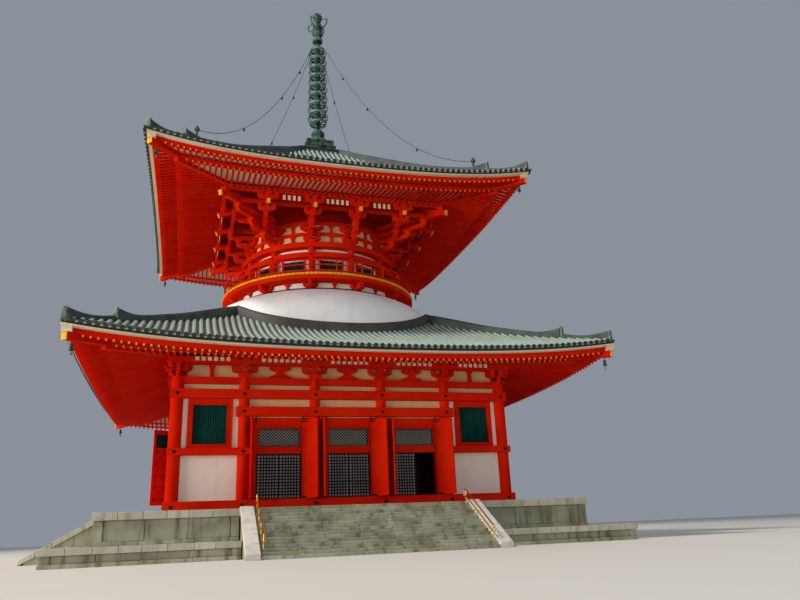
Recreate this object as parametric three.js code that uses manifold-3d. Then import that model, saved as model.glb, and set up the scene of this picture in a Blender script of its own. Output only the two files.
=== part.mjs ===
// A two-storey pagoda with a square lower storey, a white mound, a round upper storey and two hipped roofs,
// as a scale model. Every length below is a length of the building in metres, with z from the ground,
// x to the right and y to the rear, and the exported group scales it to the model's millimetres.
import * as THREE from "three";
import { mergeVertices } from "three/addons/utils/BufferGeometryUtils.js";
import Module from "manifold-3d";

const MODEL_SCALE = 1 / 2;
const MM_PER_METRE = 1000 * MODEL_SCALE;
const TOUCH = 0.0006; // gap between pieces that touch, 0.3 mm on the model
const RUN = 0.012; // running clearance of what moves, 6 mm on the model
const LAP = 0.02; // how far joined solids run into each other
const THROUGH = [0, 60]; // a cutter's depth or height that passes right through

// Podium: two stone terraces and a flight of steps on each side
const LOWER_TERRACE = { half: 17.15, coping: 17.25, copingDepth: 0.35, top: 0.96 };
const UPPER_TERRACE = { half: 15.0, coping: 15.1, copingDepth: 0.42, top: 2.7 };
const STAIR = { half: 7.3, cheek: 0.75, foot: 19.9, head: 15.12, steps: 15 };
const CHEEK_END = { upstand: 0.1, nose: 0.3, run: 0.05 };
const HANDRAIL = { x: 6.38, heights: [0.95, 0.55], bar: 0.05, steps: [1, 5, 9, 13], past: [0.3, 0.2] };

// Lower storey: five bays on each side between round columns
const COLUMN_X = [2.3, 6.95];
const CORNER = 11.15; // corner column's centre, and the column line of each side
const COLUMN_R = 0.35;
const CORNER_R = 0.4;
const BEAM_FACE = 11.59; // outer face of the beams that clasp the columns
const SILL = { outer: 11.64, inner: 10.6, top: 3.32, floorTop: 3.24 };
const WAIST_BEAM = [6.1, 6.53];
const DOOR_HEAD_BEAM = [8.55, 9.16];
const UPPER_BEAM = [9.7, 10.28];
const HEAD_TIE = [10.64, 11.1];
const HEAD_TIE_FACE = 11.4;
const BEAM_END = 0.15; // how far a waist or door-head beam runs past its last column
const WALL_INNER = 10.65;
const WALL_TOP = 11.1;

// Windows of the end bays
const WINDOW = { x: [7.93, 10.19], z: [6.72, 9.36] };
const WINDOW_TRIM = { x: [7.65, 10.44], z: [6.5, 9.62], depth: 0.12 };
const WINDOW_PANEL = { face: 11.0, back: 10.56, strip: 10.64, stripZ: [8.7, 9.3] };

// Doorways of the three middle bays
const BAY = (COLUMN_X[0] + COLUMN_X[1]) / 2;
const BAYS = [-BAY, 0, BAY];
const DOORWAY = { half: 1.46, top: 6.18 };
const TRANSOM = { half: 1.35, z: [6.64, 7.78], panel: 0.06 };
const DOOR_FRAME = { front: 11.1, back: 10.77, top: 8.34, tieBack: 10.64, tieTop: 8.5, tieEnd: 1 };
const LATTICE = { width: 1.48, thick: 0.06, tracks: [11.03, 10.93], edge: 0.1, bar: 0.05, columns: 2, rows: 4 };
const PLANK = { hinge: 1.53, line: 11.24, thick: 0.12, bottom: 3.34, top: 8.3, pin: 0.04, meet: 0.01 };
const LEFT_LEAF_OPEN = 106; // degrees from closed, as the leaves stand
const RIGHT_LEAF_OPEN = 120;

// Bracket zone and roof of the lower storey
const LOWER_BRACKET = {
  band: [10.75, 11.05],
  arm: { half: 0.85, width: 0.16, root: 0.2, bottom: 11.42, top: 11.72 },
  purlin: { p: [11.6, 11.9], bottom: 11.93 },
  top: 12.25,
};
const LOWER_ROOF = {
  levels: [17.3, 17.1, 14.3, 10.9, 6.6],
  eaveTop: 12.04,
  slope: 0.3,
  curve: 0.01335,
  lift: 0.85,
  thick: 0.4,
};
const LOWER_EAVES = {
  outer: 17.1,
  inner: 10.9,
  fascia: 11.26,
  fasciaBack: 16.85,
  flyingEnd: 11.2,
  flyingStart: 11.9,
  step: 14.3,
  baseEnd: 11.62,
  stepLift: 0.4, // share of the corner's lift that the step between the two tiers has
  seat: 12.0,
};

// White mound over the lower roof, the balcony and the round storey
const MOUND = { centreR: 3, topR: 7.3, topZ: 19.05, footR: 10.3, springZ: 16.2, footZ: 14.4, wall: 0.4, eyeR: 5.4 };
const BALCONY = {
  wallR: [6.7, 7.0],
  rimR: 8.15,
  rimZ: [19.64, 20.15],
  deckZ: 19.95,
  armR: 7.95,
  armZ: 19.1,
  armFootR: 7.35,
  armHalf: 0.17,
};
const RAIL = { r: 8.0, half: 0.045, post: 0.04, posts: 12, base: [20.25, 20.37] };
const TOP_RAIL = { half: 0.08, z: [21.14, 21.3] };
const DRUM = { inner: 5.5, outer: 5.9, top: 23.33, columnR: 6.2, column: 0.27, columns: 12 };
const DRUM_WINDOW = { z: [20.45, 21.95], half: 9.5, sheet: 0.12, margin: 0.1 };
const DRUM_RINGS = [
  { r: 6.45, z: [22.06, 22.48] },
  { r: 6.55, z: [22.88, 23.33] },
];

// Bracket tiers and roof of the upper storey
const UPPER_BRACKET = {
  core: [5.6, 6.15],
  foot: 23.55,
  steps: 4,
  arm: 0.15,
  near: { x: 1.8, root: 5.83 },
  far: { x: 5.4, root: 5.25, foot: 24.6 },
  purlin: [8.45, 8.75],
  purlinBottom: 26.15,
  top: 26.5,
};
const UPPER_ROOF = {
  levels: [13.9, 13.75, 11.2, 8.7, 6.3, 3.6, 1.0],
  eaveTop: 26.47,
  slope: 0.336,
  curve: 0.0245,
  lift: 0.975,
  thick: 0.4,
};
const UPPER_EAVES = {
  outer: 13.75,
  inner: 6.3,
  fascia: 25.9,
  fasciaBack: 13.5,
  flyingEnd: 25.82,
  flyingStart: 26.4,
  step: 11.4,
  baseEnd: 26.1,
  stepLift: 0.4,
  seat: 8.9,
};

// Finial of nine rings, and the four chains from its top ring to the hips
const FINIAL = {
  plinth: { half: 1.45, z: [34.2, 35.2] },
  box: { half: 1.27, top: 35.85 },
  bowlR: 0.63,
  bowlZ: [36.85, 37.5],
  shaftR: 0.17,
  ringZ: [38.25, 46.5],
  ringR: [1.0, 0.84],
  ringDepth: 0.12,
  ringBar: 0.09,
  spoke: 0.05,
  rings: 9,
  neckZ: [47.35, 48.6],
  neckR: 0.52,
  top: 51.1,
};
// Outlines of [radius, z] points: the lotus under the rings, the jewel over them and the prongs round it
const LOTUS = [[0.75, 0], [0.6, 0.3], [0.47, 0.7]]; // z from the top of the box
const JEWEL = [
  [0.3, 48.6],
  [0.24, 48.95],
  [0.52, 49.2],
  [0.46, 49.65],
  [0.2, 49.9],
  [0.3, 50.05],
  [0.52, 50.45],
  [0.4, 50.75],
  [0.12, 50.95],
];
const PRONG = [
  [0.1, 48.85],
  [0.72, 49.0],
  [1.1, 49.3],
  [1.21, 49.65],
  [1.05, 49.95],
  [0.5, 50.15],
  [0.9, 49.85],
  [1.05, 49.62],
  [0.98, 49.42],
  [0.68, 49.2],
  [0.1, 49.1],
];
const PRONGS = { count: 4, half: 0.06 };
const CHAIN = { topR: 0.8, footR: 15.35, foot: 29.55, sag: 3.4, r: 0.025, sides: 8, steps: 16 };
const CHAIN_BELLS = [10.3, 5.5, 2.9]; // distances from the finial's axis
const CHAIN_BELL = [[0, 0], [0.08, -0.15], [0.14, -0.5], [0, -0.5]]; // [radius, z from the chain]
const WIND_BELL = { r: 0.2, height: 0.42, drop: 0.45, inset: 0.25, hook: 0.035 };

// Hip ridges: outlines of [p, z] with the end tile of each of the two tiers
const LOWER_HIP = [
  [6.9, 15.0],
  [6.9, 17.5],
  [8.3, 16.8],
  [10.8, 15.58],
  [12.6, 14.82],
  [14.0, 14.38],
  [14.35, 14.45],
  [14.45, 14.7],
  [14.75, 14.55],
  [14.85, 13.95],
  [16.2, 13.6],
  [16.7, 13.62],
  [16.85, 13.95],
  [17.15, 13.8],
  [17.2, 12.4],
];
const UPPER_HIP = [
  [1.2, 33.0],
  [1.2, 35.05],
  [2.9, 33.8],
  [4.6, 32.62],
  [8.0, 30.35],
  [10.3, 29.15],
  [10.6, 29.2],
  [10.75, 29.5],
  [11.05, 29.35],
  [11.15, 28.75],
  [12.8, 28.05],
  [13.3, 28.02],
  [13.45, 28.3],
  [13.7, 28.15],
  [13.75, 26.9],
];
const HIP_WIDTH = 0.42;
const FLASHING = { width: 0.32, height: 0.5 };
const HIP_JEWEL_R = 0.2; // the jewels on the upper hips, which hold the chains
const COLLAR = { half: 1.7, top: 34.75 }; // the step of the roof round the finial's plinth
const HIP_BEAM = { half: 0.2, depth: 0.4, inset: 0.15, drop: 0.12, rise: 0.12, bevel: [0.5, 0.04], seat: 0.5 };

const COLOURS = {
  red: 0xd8290c,
  white: 0xe9e4da,
  tile: 0x7d948c,
  ridge: 0x46554f,
  stone: 0x8f8c7e,
  granite: 0xd4d0c8,
  bronze: 0x4f6f61,
  green: 0x17413a,
  brass: 0xb98a34,
  wood: 0x6e4a2a,
};

// Faces of the round pieces, coarse where a finer one would show no better
const ROUND = 32;
const COARSE = 24;
const BOLD = 12;
const SMALL = 8;
const SPANS = 4; // stretches of a roof's curved eave on each side

const wasm = await Module();
wasm.setup();
const UP = new THREE.Vector3(0, 0, 1);
const rad = THREE.MathUtils.degToRad;
const pagoda = new THREE.Group();
pagoda.name = "pagoda";
pagoda.scale.setScalar(MM_PER_METRE);

// A closed geometry as a solid with its faces outward.
function solidOf(geometry) {
  const bare = geometry.clone();
  bare.deleteAttribute("normal");
  bare.deleteAttribute("uv");
  const merged = mergeVertices(bare, 1e-5);
  const vertProperties = merged.attributes.position.array;
  const triVerts = new Uint32Array(merged.index.array);
  const made = new wasm.Manifold(new wasm.Mesh({ numProp: 3, vertProperties, triVerts }));
  if (made.volume() > 0) return made;
  for (let i = 0; i < triVerts.length; i += 3) {
    [triVerts[i + 1], triVerts[i + 2]] = [triVerts[i + 2], triVerts[i + 1]];
  }
  return new wasm.Manifold(new wasm.Mesh({ numProp: 3, vertProperties, triVerts }));
}

// One solid of all the geometries or solids in a list.
function joined(list) {
  return wasm.Manifold.union(list.flat(Infinity).map(asSolid));
}

function asSolid(piece) {
  return piece.isBufferGeometry ? solidOf(piece) : piece;
}

function geometryOf(solid) {
  const { numProp, vertProperties, triVerts } = solid.getMesh();
  const positions = new Float32Array((vertProperties.length / numProp) * 3);
  for (let i = 0; i < positions.length / 3; i++) {
    positions.set(vertProperties.subarray(i * numProp, i * numProp + 3), i * 3);
  }
  const geometry = new THREE.BufferGeometry();
  geometry.setAttribute("position", new THREE.BufferAttribute(positions, 3));
  geometry.setIndex(new THREE.BufferAttribute(new Uint32Array(triVerts), 1));
  geometry.computeVertexNormals();
  return geometry;
}

// Adds a named piece to the pagoda.
function piece(name, colour, shape, { roughness = 0.6, metalness = 0 } = {}) {
  const geometry = geometryOf(asSolid(shape));
  const material = new THREE.MeshStandardMaterial({ color: COLOURS[colour], roughness, metalness });
  const mesh = new THREE.Mesh(geometry, material);
  mesh.name = name;
  pagoda.add(mesh);
}

function box([x0, x1], [y0, y1], [z0, z1]) {
  const geometry = new THREE.BoxGeometry(x1 - x0, y1 - y0, z1 - z0);
  return geometry.translate((x0 + x1) / 2, (y0 + y1) / 2, (z0 + z1) / 2);
}

// A box on the front side: x along the wall, p out from the centre.
const frontBox = (x, [p0, p1], z) => box(x, [-p1, -p0], z);

function post(x, y, r, [z0, z1], sides = SMALL) {
  const geometry = new THREE.CylinderGeometry(r, r, z1 - z0, sides);
  return geometry.rotateX(Math.PI / 2).translate(x, y, (z0 + z1) / 2);
}

// A profile of [radius, z] points turned about the z axis; a ring's profile is closed on itself.
function turned(profile, sides) {
  const points = profile.map(([r, z]) => new THREE.Vector2(r, z));
  return new THREE.LatheGeometry(points, sides).rotateX(Math.PI / 2);
}

function ring([r0, r1], [z0, z1], sides = COARSE) {
  return turned([[r0, z0], [r1, z0], [r1, z1], [r0, z1], [r0, z0]], sides);
}

// An outline of [out, z] points, out from the centre towards the front, made thick along x.
function slice(outline, [x0, x1]) {
  const shape = new THREE.Shape(outline.map(([out, z]) => new THREE.Vector2(out, z)));
  const geometry = new THREE.ExtrudeGeometry(shape, { depth: x1 - x0, bevelEnabled: false });
  const axes = new THREE.Matrix4().makeBasis(new THREE.Vector3(0, -1, 0), UP, new THREE.Vector3(-1, 0, 0));
  return geometry.applyMatrix4(axes).translate(x1, 0, 0);
}

// A section of [p, z, lift] points carried round the square, p out from the centre;
// the lift raises it towards the corners by the square of the distance along the side.
function carried(section, spans = 1) {
  const positions = [];
  const around = 4 * spans;
  for (const [p, z, lift = 0] of section) {
    for (let j = 0; j < around; j++) {
      const t = (2 * (j % spans)) / spans - 1;
      const at = new THREE.Vector3(p * t, -p, z + lift * t * t);
      at.applyAxisAngle(UP, (Math.floor(j / spans) * Math.PI) / 2);
      positions.push(at.x, at.y, at.z);
    }
  }
  const faces = [];
  for (let i = 0; i < section.length; i++) {
    const next = (i + 1) % section.length;
    for (let j = 0; j < around; j++) {
      const k = (j + 1) % around;
      const [a, b, c, d] = [i * around + j, i * around + k, next * around + k, next * around + j];
      faces.push(a, b, c, a, c, d);
    }
  }
  const geometry = new THREE.BufferGeometry();
  geometry.setAttribute("position", new THREE.Float32BufferAttribute(positions, 3));
  return geometry.setIndex(faces);
}

const turnedBy = (shape, degrees) => asSolid(shape).rotate([0, 0, degrees]);
const mirroredX = (shape) => asSolid(shape).mirror([1, 0, 0]);
const bothSides = (shape) => [asSolid(shape), mirroredX(shape)];
const fourSides = (shape) => [0, 90, 180, 270].map((degrees) => turnedBy(shape, degrees));

// Podium

function terrace({ half, coping, copingDepth, top }, bottom) {
  const body = box([-half, half], [-half, half], [bottom, top - copingDepth + LAP]);
  const cap = box([-coping, coping], [-coping, coping], [top - copingDepth, top]);
  return joined([body, cap]);
}

const wellX = [-STAIR.half - TOUCH, STAIR.half + TOUCH];
const stairWell = frontBox(wellX, [STAIR.head - TOUCH, STAIR.foot], THROUGH);
piece("lower_terrace", "stone", terrace(LOWER_TERRACE, 0).subtract(joined(fourSides(stairWell))));
piece("upper_terrace", "stone", terrace(UPPER_TERRACE, LOWER_TERRACE.top + TOUCH));

const riser = UPPER_TERRACE.top / STAIR.steps;
const tread = (STAIR.foot - STAIR.head) / STAIR.steps;

function stepOutline() {
  const outline = [[STAIR.head, 0]];
  for (let i = 0; i < STAIR.steps; i++) {
    const z = UPPER_TERRACE.top - i * riser;
    outline.push([STAIR.head + i * tread, z], [STAIR.head + (i + 1) * tread, z]);
  }
  outline.push([STAIR.foot, 0]);
  return outline;
}

const cheekOutline = [
  [STAIR.head, 0],
  [STAIR.head, UPPER_TERRACE.top + CHEEK_END.upstand],
  [STAIR.head + tread, UPPER_TERRACE.top + CHEEK_END.upstand],
  [STAIR.foot + CHEEK_END.run, CHEEK_END.nose],
  [STAIR.foot + CHEEK_END.run, 0],
];
const cheekInner = STAIR.half - STAIR.cheek;
const flight = slice(stepOutline(), [-cheekInner + TOUCH, cheekInner - TOUCH]);
const wholeFlight = slice(stepOutline(), [-cheekInner, cheekInner]);
const cheek = slice(cheekOutline, [cheekInner, STAIR.half]);
const stair = joined([wholeFlight, bothSides(cheek)]);
piece("front_stair", "stone", flight);
piece("front_stair_cheek_left", "granite", mirroredX(cheek));
piece("front_stair_cheek_right", "granite", cheek);
piece("right_stair", "stone", turnedBy(stair, 90));
piece("rear_stair", "stone", turnedBy(stair, 180));
piece("left_stair", "stone", turnedBy(stair, 270));

// Two bars one over the other above the steps, joined at their ends, on posts that stand on the treads.
function handrail() {
  const { x, heights, bar, steps, past } = HANDRAIL;
  const width = [x - bar / 2, x + bar / 2];
  const postAt = (step) => STAIR.head + (step + 0.5) * tread;
  const slopeZ = (out) => UPPER_TERRACE.top * (1 - (out - STAIR.head) / (STAIR.foot - STAIR.head));
  const [head, foot] = [postAt(steps[0]), postAt(steps.at(-1))];
  const ends = [head - past[0], foot + past[1]];
  const line = [
    [ends[0], slopeZ(head)],
    [head, slopeZ(head)],
    [foot, slopeZ(foot)],
    [ends[1], slopeZ(foot)],
  ];
  const [upper, lower] = heights;
  const bars = heights.map((height) => {
    const under = line.map(([out, z]) => [out, z + height]);
    return slice([...under, ...under.map(([out, z]) => [out, z + bar]).reverse()], width);
  });
  const posts = steps.map((step) => {
    const out = postAt(step);
    const z = [UPPER_TERRACE.top - step * riser + TOUCH, slopeZ(out) + upper + bar / 2];
    return frontBox(width, [out - bar / 2, out + bar / 2], z);
  });
  const loops = [
    frontBox(width, [ends[0], ends[0] + bar], [slopeZ(head) + lower, slopeZ(head) + upper + bar]),
    frontBox(width, [ends[1] - bar, ends[1]], [slopeZ(foot) + lower, slopeZ(foot) + upper + bar]),
  ];
  return joined([bars, posts, loops]);
}

piece("handrail_right", "brass", handrail(), { roughness: 0.35, metalness: 0.9 });
piece("handrail_left", "brass", mirroredX(handrail()), { roughness: 0.35, metalness: 0.9 });

// Lower storey

const groundZ = UPPER_TERRACE.top + TOUCH;
const sillBeam = carried([
  [SILL.outer, groundZ],
  [SILL.outer, SILL.top],
  [SILL.inner, SILL.top],
  [SILL.inner, groundZ],
]);
const floorReach = [-SILL.inner - LAP, SILL.inner + LAP];
const hallFloor = box(floorReach, floorReach, [groundZ, SILL.floorTop]);
piece("sill_and_floor", "red", joined([sillBeam, hallFloor]));

const standZ = SILL.top + TOUCH;
const beamDepth = [CORNER + TOUCH, BEAM_FACE];

// Beams, columns and window trim of one side; the front and the rear own the corner columns.
function frame(ownsCorners) {
  const end = ownsCorners ? BEAM_FACE : CORNER - CORNER_R - TOUCH;
  const headEnd = COLUMN_X[1] + COLUMN_R + BEAM_END;
  const parts = [
    frontBox([-end, end], beamDepth, UPPER_BEAM),
    frontBox([-end, end], [CORNER + TOUCH, HEAD_TIE_FACE], HEAD_TIE),
    frontBox([-headEnd, headEnd], beamDepth, DOOR_HEAD_BEAM),
    bothSides(frontBox([COLUMN_X[1] - COLUMN_R - BEAM_END, end], beamDepth, WAIST_BEAM)),
    bothSides(windowTrim()),
  ];
  for (const x of COLUMN_X) parts.push(bothSides(post(x, -CORNER, COLUMN_R, [standZ, WALL_TOP])));
  if (ownsCorners) parts.push(bothSides(cornerColumn()));
  return joined(parts);
}

// A corner column with the short returns of the beams round it.
function cornerColumn() {
  const inner = CORNER - CORNER_R;
  const parts = [post(CORNER, -CORNER, CORNER_R, [standZ, WALL_TOP])];
  for (const z of [WAIST_BEAM, UPPER_BEAM]) {
    parts.push(box(beamDepth, [-BEAM_FACE, -inner], z));
  }
  parts.push(box([CORNER + TOUCH, HEAD_TIE_FACE], [-HEAD_TIE_FACE, -inner], HEAD_TIE));
  return joined(parts);
}

function windowTrim() {
  const depth = [CORNER + TOUCH, CORNER + WINDOW_TRIM.depth];
  const outer = frontBox(WINDOW_TRIM.x, depth, [WINDOW_TRIM.z[0], UPPER_BEAM[0] + LAP]);
  return solidOf(outer).subtract(solidOf(frontBox(WINDOW.x, THROUGH, WINDOW.z)));
}

piece("front_frame", "red", frame(true));
piece("rear_frame", "red", turnedBy(frame(true), 180));
piece("right_frame", "red", turnedBy(frame(false), 90));
piece("left_frame", "red", turnedBy(frame(false), 270));

// Plaster walls behind the column line, notched round the columns
const wallDepth = [WALL_INNER, CORNER];
const columnSide = COLUMN_X[1] + COLUMN_R;
const wallZ = [standZ, WALL_TOP];
const endWall = solidOf(frontBox([columnSide + TOUCH, CORNER - CORNER_R - TOUCH], wallDepth, wallZ)).subtract(
  solidOf(frontBox(WINDOW.x, THROUGH, WINDOW.z)),
);
const notches = COLUMN_X.map((x) => bothSides(post(x, -CORNER, COLUMN_R + 2 * TOUCH, THROUGH)));
const lintelZ = [DOOR_FRAME.tieTop + TOUCH, WALL_TOP];
const lintelWall = solidOf(frontBox([-columnSide, columnSide], wallDepth, lintelZ)).subtract(joined(notches));
piece("front_wall_left", "white", mirroredX(endWall), { roughness: 0.9 });
piece("front_wall_right", "white", endWall, { roughness: 0.9 });
piece("front_wall_lintel", "white", lintelWall, { roughness: 0.9 });

const bridge = frontBox([-columnSide - LAP, columnSide + LAP], wallDepth, lintelZ);
const sideWall = joined([bothSides(endWall), bridge]).subtract(joined(notches));
const cornerClear = CORNER - CORNER_R + TOUCH;
const corners = bothSides(frontBox([WALL_INNER - TOUCH, cornerClear], [0, cornerClear], THROUGH));
piece("rear_wall", "white", turnedBy(sideWall, 180), { roughness: 0.9 });
piece("right_wall", "white", turnedBy(sideWall.subtract(joined(corners)), 90), { roughness: 0.9 });
piece("left_wall", "white", turnedBy(sideWall.subtract(joined(corners)), 270), { roughness: 0.9 });

// Window panels of the lower storey, carried by one strip inside the walls
function windowPanels() {
  const { face, back, strip, stripZ } = WINDOW_PANEL;
  const round = carried([[back, stripZ[0]], [strip, stripZ[0]], [strip, stripZ[1]], [back, stripZ[1]]]);
  const [x0, x1] = WINDOW.x;
  const [z0, z1] = WINDOW.z;
  const panel = frontBox([x0 + TOUCH, x1 - TOUCH], [back, face], [z0 + TOUCH, z1 - TOUCH]);
  return joined([round, fourSides(joined(bothSides(panel)))]);
}

piece("window_panels", "green", windowPanels());

// Doorways

// Half the clear width between the columns of a doorway's bay.
const bayHalf = (bay) => (bay === 0 ? COLUMN_X[0] : BAY - COLUMN_X[0]) - COLUMN_R - TOUCH;

// The space of a doorway, through the wall.
const doorwayOf = (bay) => frontBox([bay - DOORWAY.half, bay + DOORWAY.half], THROUGH, [0, DOORWAY.top]);

// Door frame of one bay: jambs, rail, transom and head, with a thin panel in the transom.
function bayFrame(x) {
  const half = bayHalf(x);
  const depth = [DOOR_FRAME.back, DOOR_FRAME.front];
  const middle = (depth[0] + depth[1]) / 2;
  const whole = solidOf(frontBox([x - half, x + half], depth, [standZ, DOOR_FRAME.tieTop]));
  const light = frontBox([x - TRANSOM.half, x + TRANSOM.half], THROUGH, TRANSOM.z);
  const panelDepth = [middle - TRANSOM.panel / 2, middle + TRANSOM.panel / 2];
  const panelX = [x - TRANSOM.half - LAP, x + TRANSOM.half + LAP];
  const panel = frontBox(panelX, panelDepth, [TRANSOM.z[0] - LAP, TRANSOM.z[1] + LAP]);
  return joined([whole.subtract(joined([doorwayOf(x), light])), panel]);
}

// The head that ties the frames of the three bays together behind the columns.
function doorTie() {
  const depth = [DOOR_FRAME.tieBack, DOOR_FRAME.back + LAP];
  const half = BAY + DOOR_FRAME.tieEnd;
  return frontBox([-half, half], depth, [DOOR_FRAME.top, DOOR_FRAME.tieTop]);
}

// A lattice leaf from x to x + width on its track: an edge all round and a few bars.
function latticeLeaf(x, track) {
  const { width, thick, edge, bar, columns, rows } = LATTICE;
  const line = LATTICE.tracks[track];
  const height = DOORWAY.top - RUN - standZ;
  const pitch = [(width - 2 * edge + bar) / columns, (height - 2 * edge + bar) / rows];
  const holes = [];
  for (let i = 0; i < columns; i++) {
    for (let j = 0; j < rows; j++) {
      const [u, v] = [x + edge + i * pitch[0], standZ + edge + j * pitch[1]];
      holes.push(frontBox([u, u + pitch[0] - bar], THROUGH, [v, v + pitch[1] - bar]));
    }
  }
  const leaf = frontBox([x, x + width], [line - thick / 2, line + thick / 2], [standZ, standZ + height]);
  return solidOf(leaf).subtract(joined(holes));
}

// A plank leaf closed, on the hinge line of a jamb, with its rounded stile and its two pivots.
function plankLeaf(sign) {
  const { hinge, thick, bottom, top, pin, meet } = PLANK;
  const board = box([-(hinge - meet), 0], [-thick / 2, thick / 2], [bottom, top]);
  const stile = post(0, 0, thick / 2, [bottom, top], BOLD);
  const pivots = post(0, 0, pin, [standZ, DOOR_HEAD_BEAM[0] - TOUCH]);
  const leaf = joined([board, stile, pivots]);
  return sign > 0 ? leaf : mirroredX(leaf);
}

// A plank leaf standing open on its jamb, seen from the front.
function openLeaf(bay, sign) {
  const angle = sign > 0 ? RIGHT_LEAF_OPEN : -LEFT_LEAF_OPEN;
  return plankLeaf(sign).rotate([0, 0, angle]).translate([bay + sign * PLANK.hinge, -PLANK.line, 0]);
}

piece("front_door_frames", "red", joined([BAYS.map(bayFrame), doorTie()]));
const closedLeft = (bay) => bay - DOORWAY.half + RUN;
const closedRight = (bay) => bay + DOORWAY.half - RUN - LATTICE.width;
BAYS.forEach((bay, i) => {
  const rightStandsOpen = i === BAYS.length - 1;
  const rightLeafX = rightStandsOpen ? closedLeft(bay) : closedRight(bay);
  piece(`lattice_door_${2 * i + 1}`, "wood", latticeLeaf(closedLeft(bay), 0));
  piece(`lattice_door_${2 * i + 2}`, "wood", latticeLeaf(rightLeafX, 1));
  piece(`plank_door_${2 * i + 1}`, "red", openLeaf(bay, -1));
  piece(`plank_door_${2 * i + 2}`, "red", openLeaf(bay, 1));
});

// Doors of a side that stay closed: plain frames with their plank leaves shut, and the sliding leaves
// behind the one that stands open.
function closedDoors(openHalf) {
  const { front, back, tieTop } = DOOR_FRAME;
  const { hinge, line, thick, bottom, top, meet } = PLANK;
  const plate = (bay) => frontBox([bay - bayHalf(bay), bay + bayHalf(bay)], [back, front], [standZ, tieTop]);
  const leaves = BAYS.map((bay, i) => {
    const opened = openHalf && i === BAYS.length - 1;
    const reach = [bay - hinge, opened ? bay - meet : bay + hinge];
    return frontBox(reach, [front - LAP, line + thick / 2], [bottom, top]);
  });
  const slidingX = [BAY - LAP, BAY + DOORWAY.half + LAP];
  const sliding = frontBox(slidingX, [back, back + LATTICE.thick], [standZ, DOORWAY.top + LAP]);
  const frames = joined(BAYS.map(plate)).subtract(joined(BAYS.map(doorwayOf)));
  return joined([frames, doorTie(), leaves, openHalf ? sliding : []]);
}

piece("right_doors", "red", turnedBy(closedDoors(false), 90));
piece("rear_doors", "red", turnedBy(closedDoors(false), 180));
piece("left_doors", "red", turnedBy(closedDoors(true), 270));
piece("left_plank_door", "red", turnedBy(openLeaf(BAY, 1), 270));

// Bracket sets of the lower storey

// The block on a column with the arm along the wall, and the arm out to the purlin.
function lowerBracketSet(x) {
  const { arm, purlin } = LOWER_BRACKET;
  const root = CORNER - arm.root;
  const along = frontBox([x - arm.half, x + arm.half], [root, CORNER + arm.width], [arm.bottom, arm.top]);
  const rise = [WALL_TOP + TOUCH, purlin.bottom + LAP];
  const out = frontBox([x - arm.width, x + arm.width], [root, purlin.p[1]], rise);
  return [along, out];
}

function lowerBrackets() {
  const { band, purlin, top } = LOWER_BRACKET;
  const foot = WALL_TOP + TOUCH;
  const section = carried([
    [band[0], foot],
    [band[1], foot],
    [band[1], purlin.bottom],
    [purlin.p[1], purlin.bottom],
    [purlin.p[1], top],
    [band[0], top],
  ]);
  const row = [-COLUMN_X[1], -COLUMN_X[0], COLUMN_X[0], COLUMN_X[1]].map(lowerBracketSet);
  const diagonal = CORNER * (Math.SQRT2 - 1);
  const corner = turnedBy(joined(lowerBracketSet(0)).translate([0, -diagonal, 0]), 45);
  return joined([section, fourSides(joined([row, corner]))]);
}

piece("lower_brackets", "red", lowerBrackets());

// Roofs

const roofHeight = ({ eaveTop, slope, curve, levels }, p) => {
  const run = levels[0] - p;
  return eaveTop + slope * run + curve * run * run;
};
const roofLift = ({ lift, levels }, p) => lift * (p / levels[0]) ** 1.5;

// The layer between two heights over the roof's tile surface.
function roofLayer(roof, top, bottom) {
  const at = (offset) => (p) => [p, roofHeight(roof, p) + offset, roofLift(roof, p)];
  return solidOf(carried([...roof.levels.map(at(top)), ...[...roof.levels].reverse().map(at(bottom))], SPANS));
}

const REACH = 8; // how far a cutter goes beyond a roof
const belowRoof = (roof) => roofLayer(roof, TOUCH, -REACH);
const aboveSoffit = (roof) => roofLayer(roof, REACH, -roof.thick - TOUCH);

// Eaves: the fascia, the two tiers of rafters as one soffit, hip beams and the bells under them.
function eaves(form, roof, seatZ) {
  const lift = roofLift(roof, form.outer);
  const stepLift = form.stepLift * lift;
  const section = [
    [form.outer, form.fascia, lift],
    [form.outer, roofHeight(roof, form.outer), lift],
    [form.inner, roofHeight(roof, form.inner), 0],
    [form.inner, seatZ + TOUCH, 0],
    [form.seat, seatZ + TOUCH, 0],
    [form.step, form.baseEnd, stepLift],
    [form.step, form.flyingStart, stepLift],
    [form.fasciaBack, form.flyingEnd, lift],
    [form.fasciaBack, form.fascia, lift],
  ];
  const body = solidOf(carried(section, SPANS)).subtract(aboveSoffit(roof));
  return joined([body, fourSides(hipBeam(form, lift))]);
}

// The beam under a hip, with its bell hung from the end, turned to the front right corner.
function hipBeam(form, lift) {
  const { half, depth, inset, drop, rise, bevel, seat } = HIP_BEAM;
  const tip = form.outer * Math.SQRT2 - inset;
  const root = form.seat * Math.SQRT2;
  const tipZ = form.fascia + lift;
  const underside = tipZ - drop;
  const outline = [
    [root, form.baseEnd + seat],
    [root, form.baseEnd + seat + depth],
    [tip, tipZ + rise],
    [tip, underside],
    [tip - bevel[0], underside - bevel[1]],
  ];
  const { r, height, drop: hang, inset: back, hook } = WIND_BELL;
  const bellZ = underside - hang;
  const bell = turned([[0, bellZ], [r * 0.6, bellZ], [r, bellZ - height], [0, bellZ - height]], SMALL);
  const hung = joined([bell, post(0, 0, hook, [bellZ - LAP, tipZ], 4)]).translate([0, back - tip, 0]);
  return turnedBy(joined([slice(outline, [-half, half]), hung]), 45);
}

// The hip ridges with their end tiles, turned to the four corners and seated on the roof.
function hips(outline, width) {
  return fourSides(turnedBy(slice(outline.map(([p, z]) => [p * Math.SQRT2, z]), [-width / 2, width / 2]), 45));
}

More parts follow.
